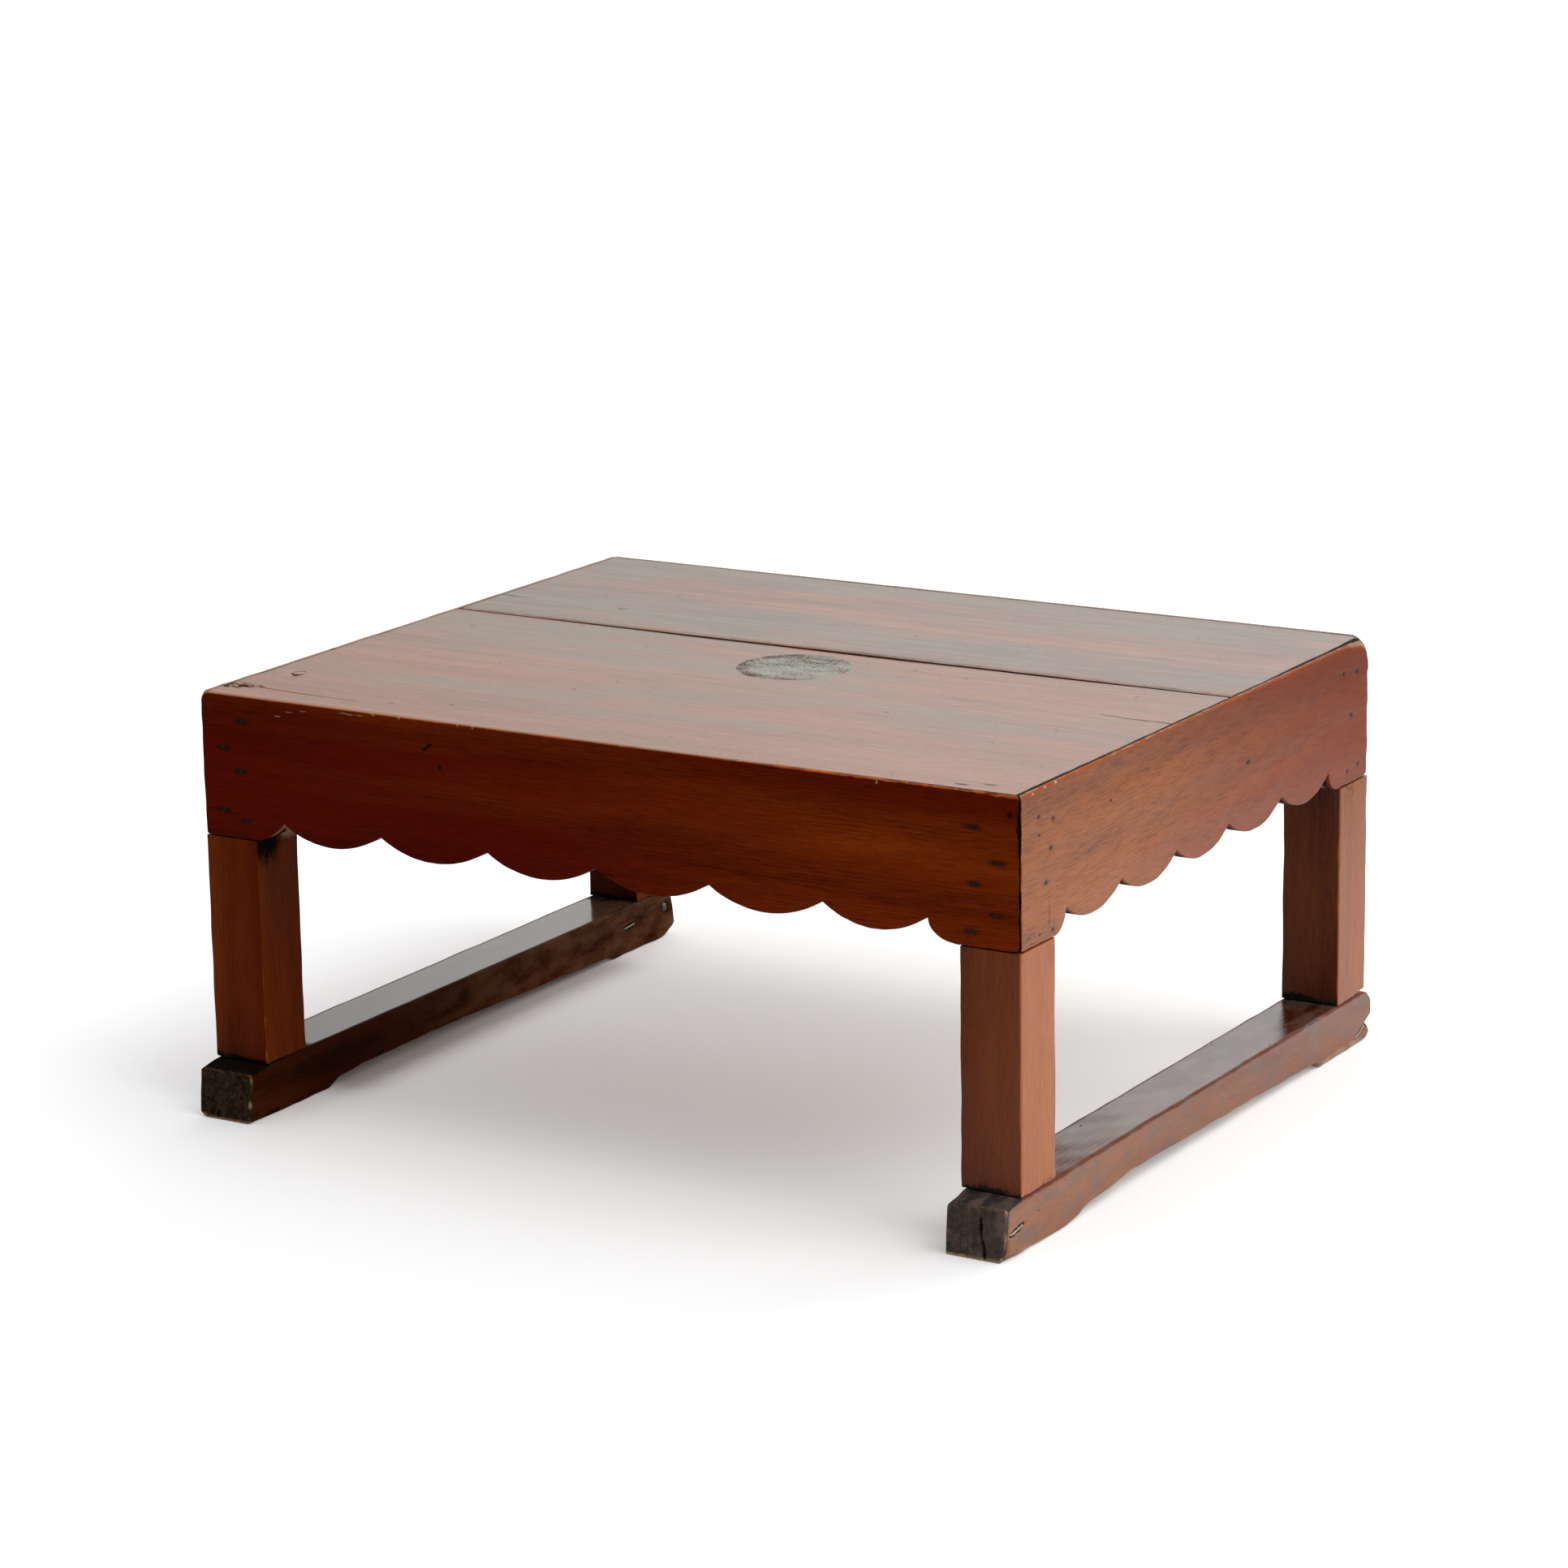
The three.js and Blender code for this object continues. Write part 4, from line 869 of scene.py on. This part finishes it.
def board(node, wood, marks_y, cracks, seed):
    """One top board: a block with fine grid lines along its cracks. Round the plug the grid lines
    are drawn from squares into circles, so that a round hole can sink between two of them."""
    low, high = (np.array(corner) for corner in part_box(node))
    has_plug = low[1] < plug_centre[1] < high[1]
    fine = (0.0003, 0.0007, 0.0012, 0.002, 0.0032)
    wide_steps = edge_steps + (0.005, 0.0075, 0.011)
    plug_steps = np.array([0, 0.001, 0.002, 0.003, 0.004, 0.005, 0.00605, 0.0062, 0.007, 0.0085, 0.0105, 0.013])
    around = np.concatenate([-plug_steps[::-1], plug_steps])
    also_x = list(plug_centre[0] + around) if has_plug else []
    also_y = list(plug_centre[1] + around) if has_plug else []
    for y0 in marks_y:
        also_y += [y0 + s * d for s in (-1, 1) for d in (0.0, *fine)]
    if has_plug:
        also_x += list(np.arange(low[0] + 0.002, pit_centre[0] + 0.02, 0.0018))
        also_y += list(np.arange(pit_centre[1] - 0.011, pit_centre[1] + 0.011, 0.0012))
    xs = places(low[0], high[0], 0.0046, wide_steps, (low[0], high[0]), also_x)
    ys = places(low[1], high[1], 0.0034, wide_steps, (low[1], high[1]), also_y)
    zs = places(low[2], high[2], 0.004, edge_steps[:4], (low[2], high[2]))
    points, quads = block(xs, ys, zs)
    start = points.copy()
    x, y, z = points.T
    up = (start[:, 2] > high[2] - 1e-6) * 1.0

    front_seam = 0.0009 * rise(x, 0.2, 0.33)
    right_seam = np.interp(y - table_middle, [-0.3, -0.24, -0.1, 0.1, 0.22, 0.29], [0.0014, 0.001, 0.0006, 0.0006, 0.0014, 0.0034])
    rear_seam = 0.0012 * rise(x, 0.28, 0.36)
    gap_half = 0.0001 + 0.0007 * (1 - (x / 0.375) ** 2) + 0.00015 * ripple(points, 0.08, 91)
    is_front = node.endswith("front")
    y = y + (front_seam if is_front else 0) * rise(start[:, 1], low[1] + 0.02, low[1])
    y = y - (0 if is_front else rear_seam) * rise(start[:, 1], high[1] - 0.02, high[1])
    x = x - right_seam * rise(start[:, 0], high[0] - 0.02, high[0])
    y = y - gap_half * rise(start[:, 1], high[1] - 0.02, high[1]) * is_front
    y = y + gap_half * rise(start[:, 1], low[1] + 0.02, low[1]) * (not is_front)
    points = np.stack([x, y, z], axis=1)

    box_low = points.min(axis=0)
    box_high = points.max(axis=0)
    edge_radius = np.clip(0.0007 + 0.0002 * ripple(points, 0.03, seed), 0.0003, 0.002)
    to_gap = np.abs(start[:, 1] - (high[1] if is_front else low[1]))
    gap_round = hill(to_gap, 0.006)
    points = eased(points, box_low, box_high, edge_radius + 0.0014 * gap_round)
    points = frame_eased(points)

    for x0, y0 in dents:
        size = 0.0045
        points[:, 2] -= up * 0.0005 * hill(np.hypot((points[:, 0] - x0) / 1.6, points[:, 1] - y0), size)
    points[:, 2] -= up * 0.00012 * (1 + ripple(points, (0.25, 0.06, 1), seed + 1))
    cupped = up * (1 - 0.7 * (start[:, 0] / 0.375) ** 2)
    points[:, 2] -= cupped * (0.0008 * rise(to_gap, 0.011, 0.0) if is_front else 0.0014 * np.clip(1 - to_gap / 0.013, 0, 1) ** 2)
    opened = np.zeros(len(points))
    for line, width, depth in cracks:
        drop = split(points, up, line, width, depth)
        points[:, 2] -= drop
        opened = np.maximum(opened, drop / depth)
    splinter = 0 * up
    if has_plug:
        away = points[:, :2] - plug_centre
        square = np.abs(away).max(axis=1)
        round_place = away / np.maximum(np.linalg.norm(away, axis=1), 1e-9)[:, None] * square[:, None]
        share = rise(square, 0.013, 0.0075)[:, None]
        points[:, :2] = plug_centre + away + (round_place - away) * share
        points[:, 2] -= up * (square < 0.0061) * 0.0102
        points[:, 2] -= up * 0.0009 * hill(np.hypot(away[:, 0], away[:, 1] + 0.007), 0.007)
        from_pit = points[:, :2] - pit_centre
        torn = np.hypot(from_pit[:, 0] / 0.0165, (from_pit[:, 1] - 0.15 * from_pit[:, 0]) / 0.0088)
        splinter = up * rise(torn + 0.3 * ripple(points, (0.009, 0.005, 1), 94), 1.05, 0.8)
        fibres = ripple(points, (0.02, 0.0032, 1), 95)
        points[:, 2] -= splinter * (0.0014 + 0.0009 * fibres)

    to_end = np.minimum(start[:, 0] - low[0], high[0] - start[:, 0])
    to_lip = start[:, 1] - low[1] if is_front else high[1] - start[:, 1]
    open_lip = front_seam_open(points) if is_front else rise(points[:, 0], 0.3, 0.35)
    right_end = rise(points[:, 0], 0.3, 0.33)
    end_dirt = hill(to_end, 0.0008 + 0.0005 * right_end) * (0.5 + (0.5 + 0.35 * ripple(points, 0.02, seed + 3)) * right_end)
    seam_dirt = np.maximum(end_dirt, hill(to_lip, 0.0009) * (0.35 + 0.7 * open_lip))
    worn = up * hill(to_gap, 0.0025 if is_front else 0.0095) * (0.55 + 0.12 * ripple(points, (0.06, 0.01, 1), seed + 4))
    pit_tone = 0.5 * ripple(points, (0.006, 0.0035, 1), 97) + 0.5 * rise(points[:, 0], -0.37, -0.35)
    # Black: grime along the seams and in the pit, and painted shade inside the cracks, along the edge at the gap and on
    # all the board's sides.
    soil = np.maximum.reduce([opened * 1.2, seam_dirt, splinter * (0.35 + pit_tone)]) * up
    below = (start[:, 2] < low[2] + 1e-6) * 1.0
    soil = np.maximum.reduce([soil, hill(to_gap, 0.0006) * 0.8, (1 - up - below) * 1.3])
    bare = np.maximum(0.8 * below, splinter * 0.9)
    grey = up * (0.25 + 0.5 * rise(points[:, 1] - 0.6 * points[:, 0], -0.2, 0.45))
    grey = grey - 0.7 * rise(points[:, 1], -0.2, -0.26) * up
    marks = {"worn": worn, "bare": bare, "soil": soil, "grey": grey}
    piece(node + "_worn", points, quads, wood, "top_wood", [node], **marks)


top_tones = [(0.34, 0.18, 0.1), (0.4, 0.14, 0.065), (0.17, 0.075, 0.045), (0.42, 0.12, 0.045)]
top_shares = (0.5, 0.6, 0.45)
top_looks = {
    "front": ((0, -0.02, 0.22), (0, 0.02, 0.01)),
    "rear": ((0, 0.22, 0.2), (0, -0.02, 0.015)),
}
top_front_wood, top_rear_wood = (
    old_wood(f"top_{side}_wood", "X", top_tones, pith, 0.0042, top_shares, 0.24, 0.7, lean)
    for side, (pith, lean) in top_looks.items()
)

mark_centre = (0.0072, -0.0075)
mark_radius = 0.047


def age_top(material, darkness):
    """Lays grey-green clouds, dark streaks of the given darkness, small dark nicks and, on the
    upper face, the round mark over the top's wood."""
    tree = material.node_tree
    place = add(tree, "ShaderNodeTexCoord").outputs["Object"]
    height = add(tree, "ShaderNodeSeparateXYZ", {0: place}).outputs["Z"]
    upper = step(tree, height, top_height - 0.006, top_height - 0.004)
    drawn = placed(tree, place, (0.25, 1, 1))
    grey = sums(tree, "ADD", noise(tree, drawn, 13.0, 4.0, 0.6), sums(tree, "MULTIPLY", mark_of(tree, "grey"), 0.3))
    cover(material, sums(tree, "MULTIPLY", step(tree, grey, 0.5, 0.75), 0.85), (0.2, 0.16, 0.105))
    streak = noise(tree, placed(tree, place, (0.06, 1, 1), (0.7, 0.1, 0)), 130.0, 3.0, 0.6)
    cover(material, sums(tree, "MULTIPLY", step(tree, streak, 0.5, 0.72), 0.7), (0.24, 0.085, 0.045))
    smear = noise(tree, placed(tree, place, (0.1, 1, 1), (0.3, 0.2, 0)), 75.0, 4.0, 0.7)
    smear = sums(tree, "MULTIPLY", step(tree, smear, 0.36, 0.66), upper)
    cover(material, sums(tree, "MULTIPLY", smear, darkness), (0.08, 0.038, 0.027))
    nicked(material, (0.45, 1, 0), 42.0, 0.045, 0.5, 0.8, (0.04, 0.015, 0.01))
    nicked(material, (0.45, 1, 0), 95.0, 0.06, 0.6, 0.8, (0.04, 0.015, 0.01))
    centred = placed(tree, place, (1, 1, 0), (-mark_centre[0], -mark_centre[1], 0))
    away = add(tree, "ShaderNodeVectorMath", {0: centred}, operation="LENGTH").outputs["Value"]
    wobble = sums(tree, "MULTIPLY_ADD", noise(tree, place, 60.0, 4.0), 0.003, away)
    inside = sums(tree, "MULTIPLY", step(tree, wobble, mark_radius + 0.002, mark_radius + 0.0013), upper)
    rim = sums(tree, "MULTIPLY", inside, step(tree, wobble, mark_radius - 0.014, mark_radius))
    patch = noise(tree, placed(tree, place, (0.5, 1, 1), (0.21, 0.05, 0)), 55.0, 3.0, 0.6)
    cover(material, sums(tree, "MULTIPLY", inside, 0.9), (0.25, 0.25, 0.18), 0.3)
    fleck = noise(tree, placed(tree, place, (0.6, 1, 1)), 700.0, 4.0, 0.8)
    leftward = step(tree, add(tree, "ShaderNodeSeparateXYZ", {0: centred}).outputs["X"], 0.04, -0.045)
    crowd = sums(tree, "MULTIPLY_ADD", rim, sums(tree, "MULTIPLY_ADD", leftward, 0.07, 0.02), fleck)
    crowd = sums(tree, "MULTIPLY_ADD", patch, 0.45, crowd)
    flecks = step(tree, crowd, 0.72, 0.84)
    cover(material, sums(tree, "MULTIPLY", inside, flecks), (0.06, 0.024, 0.01), 1.0)


age_top(top_front_wood, 0.08)
age_top(top_rear_wood, 0.4)
board(
    "top_board_front",
    top_front_wood,
    marks_y=(-0.0435, -0.2675, -0.2705),
    cracks=[
        (((0.371, -0.045), (0.302, -0.043)), 0.0007, 0.003),
        (((-0.352, -0.2668), (-0.24, -0.2712)), 0.0008, 0.0025),
    ],
    seed=101,
)
board(
    "top_board_rear",
    top_rear_wood,
    marks_y=(0.1245, 0.1235),
    cracks=[(((-0.371, 0.1245), (-0.335, 0.1232)), 0.0008, 0.003)],
    seed=103,
)

# Plug
# A turned softwood plug in a round hole of the front board, set with its near side low.

plug_sides = 48
plug_rings = np.array([(0, 0), (0.55, 0), (0.9, -0.00005), (0.975, -0.0003), (1, -0.0009), (1, -0.005), (1, -0.0098), (0.6, -0.01), (0, -0.01)])


def turned(rings, sides):
    """A closed turned shape about Z: rings of (radius, height) from the top pole to the bottom
    pole, joined by quads, with triangles at the poles."""
    angle = np.arange(sides) * 2 * np.pi / sides
    radius, height = rings[1:-1, :1], rings[1:-1, 1:]
    wall = np.stack([radius * np.cos(angle), radius * np.sin(angle), height + 0 * angle], axis=-1)
    points = np.concatenate([[[0, 0, rings[0, 1]]], wall.reshape(-1, 3), [[0, 0, rings[-1, 1]]]])
    number = 1 + np.arange((len(rings) - 2) * sides).reshape(-1, sides)
    after = np.roll(number, -1, axis=1)
    quads = np.stack([number[:-1], number[1:], after[1:], after[:-1]], axis=-1).reshape(-1, 4)
    top = np.stack([0 * number[0], number[0], after[0]], axis=-1)
    bottom = np.stack([0 * number[-1] + len(points) - 1, after[-1], number[-1]], axis=-1)
    return points, quads.tolist() + top.tolist() + bottom.tolist()


edge_marks = [(0.3185, -0.285, top_height), (0.338, -0.2775, top_height), (0.3555, -0.2957, top_height)]
stain(top_front_wood, edge_marks, (0.007, 0.0025, 0.004), (0.1, 0.04, 0.02), 0.7, 0.9)
points, faces = turned(plug_rings * [plug_radius - 0.00015, 1], plug_sides)
points[:, 2] += top_height - 0.00018 - 0.01 * points[:, 1] * (points[:, 2] > -0.002)
points[:, :2] += plug_centre + [0, 0.00012]
# Painted shade: the near half of the rim's edge and the whole wall below are made black, as the dark gap on the near
# side.
piece("plug_worn", points, faces, top_front_wood, "top_wood", ["top_plug"], soil=0.9 * (np.arange(len(points)) > 120))

# Nails in the aprons
# Small forged nails with flat, slightly domed heads, driven just under the face of each apron end
# into the leg. Water has drawn grey-green iron stains out of them along the grain. Two more at
# each batten end hold the battens.

iron = bpy.data.materials.new("iron")
iron.use_nodes = True
iron_tree = iron.node_tree
iron_shader = iron_tree.nodes["Principled BSDF"]
iron_place = add(iron_tree, "ShaderNodeTexCoord").outputs["Object"]
rust = noise(iron_tree, iron_place, 700.0, 5.0, 0.7)
rust_colour = mix(iron_tree, step(iron_tree, rust, 0.4, 0.62), (0.02, 0.018, 0.017), (0.07, 0.04, 0.025))
iron_tree.links.new(rust_colour, iron_shader.inputs["Base Color"])
iron_tree.links.new(sums(iron_tree, "MULTIPLY_ADD", rust, 0.5, 0.25), iron_shader.inputs["Roughness"])
iron_shader.inputs["Metallic"].default_value = 0.6
iron_bump = add(iron_tree, "ShaderNodeBump", {"Height": rust, "Strength": 0.5, "Distance": 0.0003})
iron_tree.links.new(iron_bump.outputs[0], iron_shader.inputs["Normal"])

nail_rings = np.array(
    [(0, 0.0), (0.0009, -0.00003), (0.0016, -0.00012), (0.0019, -0.00035), (0.0019, -0.0012), (0.0011, -0.0014), (0.0011, -0.028), (0.0004, -0.0335), (0, -0.034)]
)
nail_depth = 0.00045


def nails(name, side, turn, places_on_side, nodes, seed):
    """Nails at places (along the side, height) with their heads just under the outer face."""
    random = np.random.default_rng(seed)
    radians = math.radians(turn)
    outward = np.array([math.sin(radians), -math.cos(radians), 0])
    lengthwise = np.array([math.cos(radians), math.sin(radians), 0])
    reach = 0.375 if side in ("left", "right") else (table_high[1] - table_low[1]) / 2
    flip = -1 if turn in (180, -90) else 1
    all_points = []
    all_faces = []
    for along, up in places_on_side:
        local, faces = turned(nail_rings, 16)
        local[:, :2] *= 1 + 0.08 * random.normal(size=(len(local), 1)) * (local[:, 2:] > -0.0013)
        tilt = 0.08 * random.normal(size=2)
        local[:, 2] += (local[:, :2] @ tilt) * (local[:, 2] > -0.0013)
        spin = lengthwise * local[:, :1] + np.array([0, 0, 1]) * local[:, 1:2] + outward * (local[:, 2:] - nail_depth + reach)
        spin += lengthwise * flip * along + np.array([0, table_middle, up])
        shift = sum(len(group) for group in all_points)
        all_points.append(spin)
        all_faces += [[index + shift for index in face] for face in faces]
    piece(name, np.concatenate(all_points), all_faces, iron, "iron", nodes)


end_names = {"front": ("left", "right"), "right": ("front", "rear"), "rear": ("left", "right"), "left": ("front", "rear")}
turns = {"front": 0, "right": 90, "rear": 180, "left": -90}
for (side, end), spots in nail_spots.items():
    end_name = end_names[side][0 if end < 0 else 1]
    nodes = [f"nail_{side}_apron_{end_name}_{row}" for row in range(1, 6)]
    nails(f"nails_{side}_{end_name}", side, turns[side], spots, nodes, 7 * len(side) + end)
batten_spots = [(s * 0.147 + d, 0.3304 - 3 * abs(d + 0.006)) for s in (-1, 1) for d in (-0.006, 0.006)]
for side in ("front", "rear"):
    nails(f"nails_{side}_batten", side, turns[side], batten_spots, [], 5 + len(side))

# Ironwork on the runners
# Forged staples, sunk in the sides of the runners across old checks, and one round-headed nail.

wire = 0.00095


steel = bpy.data.materials.new("worn_steel")
steel.use_nodes = True
steel_shader = steel.node_tree.nodes["Principled BSDF"]
steel_place = add(steel.node_tree, "ShaderNodeTexCoord").outputs["Object"]
steel_wear = noise(steel.node_tree, steel_place, 500.0, 4.0, 0.7)
steel_colour = mix(steel.node_tree, step(steel.node_tree, steel_wear, 0.45, 0.7), (0.42, 0.38, 0.32), (0.1, 0.065, 0.045))
steel_colour = mix(steel.node_tree, mark_of(steel.node_tree, "dull"), steel_colour, (0.11, 0.085, 0.05))
steel.node_tree.links.new(steel_colour, steel_shader.inputs["Base Color"])
steel_shader.inputs["Metallic"].default_value = 0.5
steel_shader.inputs["Roughness"].default_value = 0.38


def staple(node):
    """A round wire bent twice: it comes out of the wood, lies along the face and goes back in. A
    circle of points is carried along the bent path, and the two ends are closed."""
    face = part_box(node)[1].x - 0.0001
    slot_y, slot_z, slope = iron_slots[node]
    half = 0.0102
    bend = np.array([(-0.009, -half), (-0.003, -half), (-0.0012, -half + 0.0008), (-0.0002, -half + 0.0025), (0, -half / 2), (0, 0)])
    path = np.concatenate([bend, bend[-2::-1] * [1, -1]])
    direction = np.gradient(path, axis=0)
    direction /= np.linalg.norm(direction, axis=1, keepdims=True)
    normal = np.stack([direction[:, 1], -direction[:, 0]], axis=1)
    angle = np.arange(12) * 2 * np.pi / 12
    thick = wire * (1 + 0.1 * np.sin(np.arange(len(path)) * 2.1))[:, None]
    depth = path[:, :1] - wire + normal[:, :1] * np.cos(angle) * thick
    along = path[:, 1:] + normal[:, 1:] * np.cos(angle) * thick
    across = np.sin(angle) * thick + 0 * path[:, :1]
    y = slot_y + along * math.cos(slope) - across * math.sin(slope)
    z = slot_z + along * math.sin(slope) + across * math.cos(slope)
    points = np.stack([face + depth, y, z], axis=-1).reshape(-1, 3)
    number = np.arange(len(points)).reshape(len(path), 12)
    after = np.roll(number, -1, axis=1)
    quads = np.stack([number[:-1], number[1:], after[1:], after[:-1]], axis=-1).reshape(-1, 4).tolist()
    quads += [number[0].tolist(), number[-1][::-1].tolist()]
    dull = np.full(len(points), 0.6 * node.endswith("inner"))
    piece(node + "_wire", points, quads, steel, "iron", [node], dull=dull)


for staple_node in ("staple_left_runner_inner", "staple_right_runner_front", "staple_right_runner_rear"):
    staple(staple_node)

low, high = (np.array(corner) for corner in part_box("round_nail_left_runner"))
head_rings = np.array([(0, 0.0), (0.0022, -0.0001), (0.0036, -0.0005), (0.0043, -0.0012), (0.0044, -0.002), (0.0012, -0.0022), (0.0012, -0.03), (0, -0.034)])
local, faces = turned(head_rings, 24)
middle = (low + high) / 2
points = np.stack([high[0] + local[:, 2], middle[1] + local[:, 0], middle[2] + local[:, 1]], axis=1)
dull = np.full(len(points), 0.85)
piece("round_nail_worn", points, faces, steel, "iron", ["round_nail_left_runner"], dull=dull)

# Studio
# White paper under and behind the table, with the room dark on the camera's side: in front of the
# table the paper ends and only the camera sees the floor white. Soft light falls from all round,
# from high on the right and from low at the rear right.

floor_half = 8.0
camera_side = 0.25
left_side = 0.5
sky_light = 1.0
floor_glow = 0.22
floor_mesh = bpy.data.meshes.new("floor")
floor_corners = [(x * floor_half, y * floor_half, 0) for x, y in ((-1, -1), (1, -1), (1, 1), (-1, 1))]
floor_mesh.from_pydata(floor_corners, [], [(0, 1, 2, 3)])
floor = bpy.data.objects.new("floor", floor_mesh)
bpy.context.scene.collection.objects.link(floor)
floor_paint = bpy.data.materials.new("floor_paint")
floor_paint.use_nodes = True
floor_tree = floor_paint.node_tree
floor_shader = floor_tree.nodes["Principled BSDF"]
floor_shader.inputs["Roughness"].default_value = 0.9
floor_shader.inputs["Specular IOR Level"].default_value = 0.1
floor_shader.inputs["Emission Color"].default_value = (1.0, 1.0, 1.0, 1.0)


def seen_straight(tree):
    """1 for what the camera sees straight or through glass, 0 for every other ray."""
    paths = add(tree, "ShaderNodeLightPath").outputs
    return sums(tree, "ADD", paths["Is Camera Ray"], paths["Is Transmission Ray"])


floor_place = add(floor_tree, "ShaderNodeTexCoord").outputs["Object"]
floor_y = add(floor_tree, "ShaderNodeSeparateXYZ", {0: floor_place}).outputs["Y"]
from_table = add(floor_tree, "ShaderNodeVectorMath", {0: floor_place}, operation="LENGTH").outputs["Value"]
paper = sums(floor_tree, "MULTIPLY", step(floor_tree, floor_y, -1.05, -0.55), step(floor_tree, from_table, 2.0, 0.9))
glossy = add(floor_tree, "ShaderNodeLightPath").outputs["Is Glossy Ray"]
floor_x = add(floor_tree, "ShaderNodeSeparateXYZ", {0: floor_place}).outputs["X"]
# Painted shade in reflections: to glossy rays the paper left of x 0.3 keeps only 15% of its white.
shaded = sums(floor_tree, "MULTIPLY", glossy, step(floor_tree, floor_x, 0.45, 0.3))
paper = sums(floor_tree, "MULTIPLY", paper, sums(floor_tree, "MULTIPLY_ADD", shaded, -0.85, 1.0))
white = sums(floor_tree, "MAXIMUM", seen_straight(floor_tree), paper)
floor_colour = mix(floor_tree, white, (0.03, 0.03, 0.03), (0.9, 0.9, 0.9))
floor_tree.links.new(floor_colour, floor_shader.inputs["Base Color"])
glow = sums(floor_tree, "MAXIMUM", seen_straight(floor_tree), sums(floor_tree, "MULTIPLY", glossy, white))
# Painted shadow: the floor's glow drops to 3% in a strip under and beside the left runner's hollow.
from_runner = sums(floor_tree, "ABSOLUTE", sums(floor_tree, "ADD", floor_x, 0.345))
along_hollow = step(floor_tree, sums(floor_tree, "ABSOLUTE", floor_y), 0.24, 0.19)
painted_hollow_shadow = sums(floor_tree, "MULTIPLY", step(floor_tree, from_runner, 0.075, 0.02), along_hollow)
glow = sums(floor_tree, "MULTIPLY", glow, sums(floor_tree, "MULTIPLY_ADD", painted_hollow_shadow, -0.97, 1.0))
floor_tree.links.new(sums(floor_tree, "MULTIPLY", glow, floor_glow), floor_shader.inputs["Emission Strength"])
floor_mesh.materials.append(floor_paint)

world = bpy.data.worlds.new("studio")
world.use_nodes = True
bpy.context.scene.world = world
world_tree = world.node_tree
toward = add(world_tree, "ShaderNodeTexCoord").outputs["Generated"]
toward_xyz = add(world_tree, "ShaderNodeSeparateXYZ", {0: toward}).outputs
rearward = step(world_tree, sums(world_tree, "ADD", toward_xyz["Y"], toward_xyz["Z"]), -0.15, 0.6)
rightward = step(world_tree, toward_xyz["X"], -0.75, -0.35)
sky = sums(world_tree, "MULTIPLY_ADD", rearward, (1 - camera_side) * sky_light, camera_side * sky_light)
sky = sums(world_tree, "MULTIPLY", sky, sums(world_tree, "MULTIPLY_ADD", rightward, 1 - left_side, left_side))
horizon = step(world_tree, toward_xyz["Z"], 0.14, 0.28)
sky = sums(world_tree, "MULTIPLY", sky, sums(world_tree, "MULTIPLY_ADD", horizon, 0.3, 0.7))
panel = step(world_tree, toward_xyz["Z"], 0.185, 0.23)
panel = sums(world_tree, "MULTIPLY", panel, step(world_tree, toward_xyz["Z"], 0.55, 0.35))
panel = sums(world_tree, "MULTIPLY", panel, step(world_tree, toward_xyz["X"], -0.68, -0.52))
sky = sums(world_tree, "MULTIPLY", sky, sums(world_tree, "MULTIPLY_ADD", panel, 0.42, 1.0))
brightness = sums(world_tree, "MAXIMUM", sky, seen_straight(world_tree))
world_tree.links.new(brightness, world_tree.nodes["Background"].inputs["Strength"])
world_tree.nodes["Background"].inputs["Color"].default_value = (1, 1, 1, 1)

for lamp_name, energy, azimuth, elevation in (("rear_lamp", 0.65, 75, 25), ("high_lamp", 0.85, 5, 55)):
    lamp_data = bpy.data.lights.new(lamp_name, "SUN")
    lamp_data.energy = energy
    lamp_data.angle = math.radians(40)
    lamp = bpy.data.objects.new(lamp_name, lamp_data)
    lamp.rotation_euler = (math.radians(90 - elevation), 0, math.radians(azimuth + 90))
    bpy.context.scene.collection.objects.link(lamp)

# Camera at the photo's place: azimuth, elevation and roll in degrees, then the place in metres
view_azimuth = 31.317
view_elevation = 14.148
view_roll = -0.957
camera_place = (1.98524, -3.27684, 1.21649)
camera_data = bpy.data.cameras.new("camera")
camera_data.lens = 110.29
camera_data.sensor_width = 36.0
camera = bpy.data.objects.new("camera", camera_data)
turn = (
    Euler((0, 0, math.radians(view_azimuth))).to_matrix()
    @ Euler((math.radians(90 - view_elevation), 0, 0)).to_matrix()
    @ Euler((0, 0, math.radians(view_roll))).to_matrix()
)
camera.matrix_world = turn.to_4x4()
camera.location = camera_place
bpy.context.scene.collection.objects.link(camera)
bpy.context.scene.camera = camera
bpy.context.scene.view_settings.view_transform = "Standard"
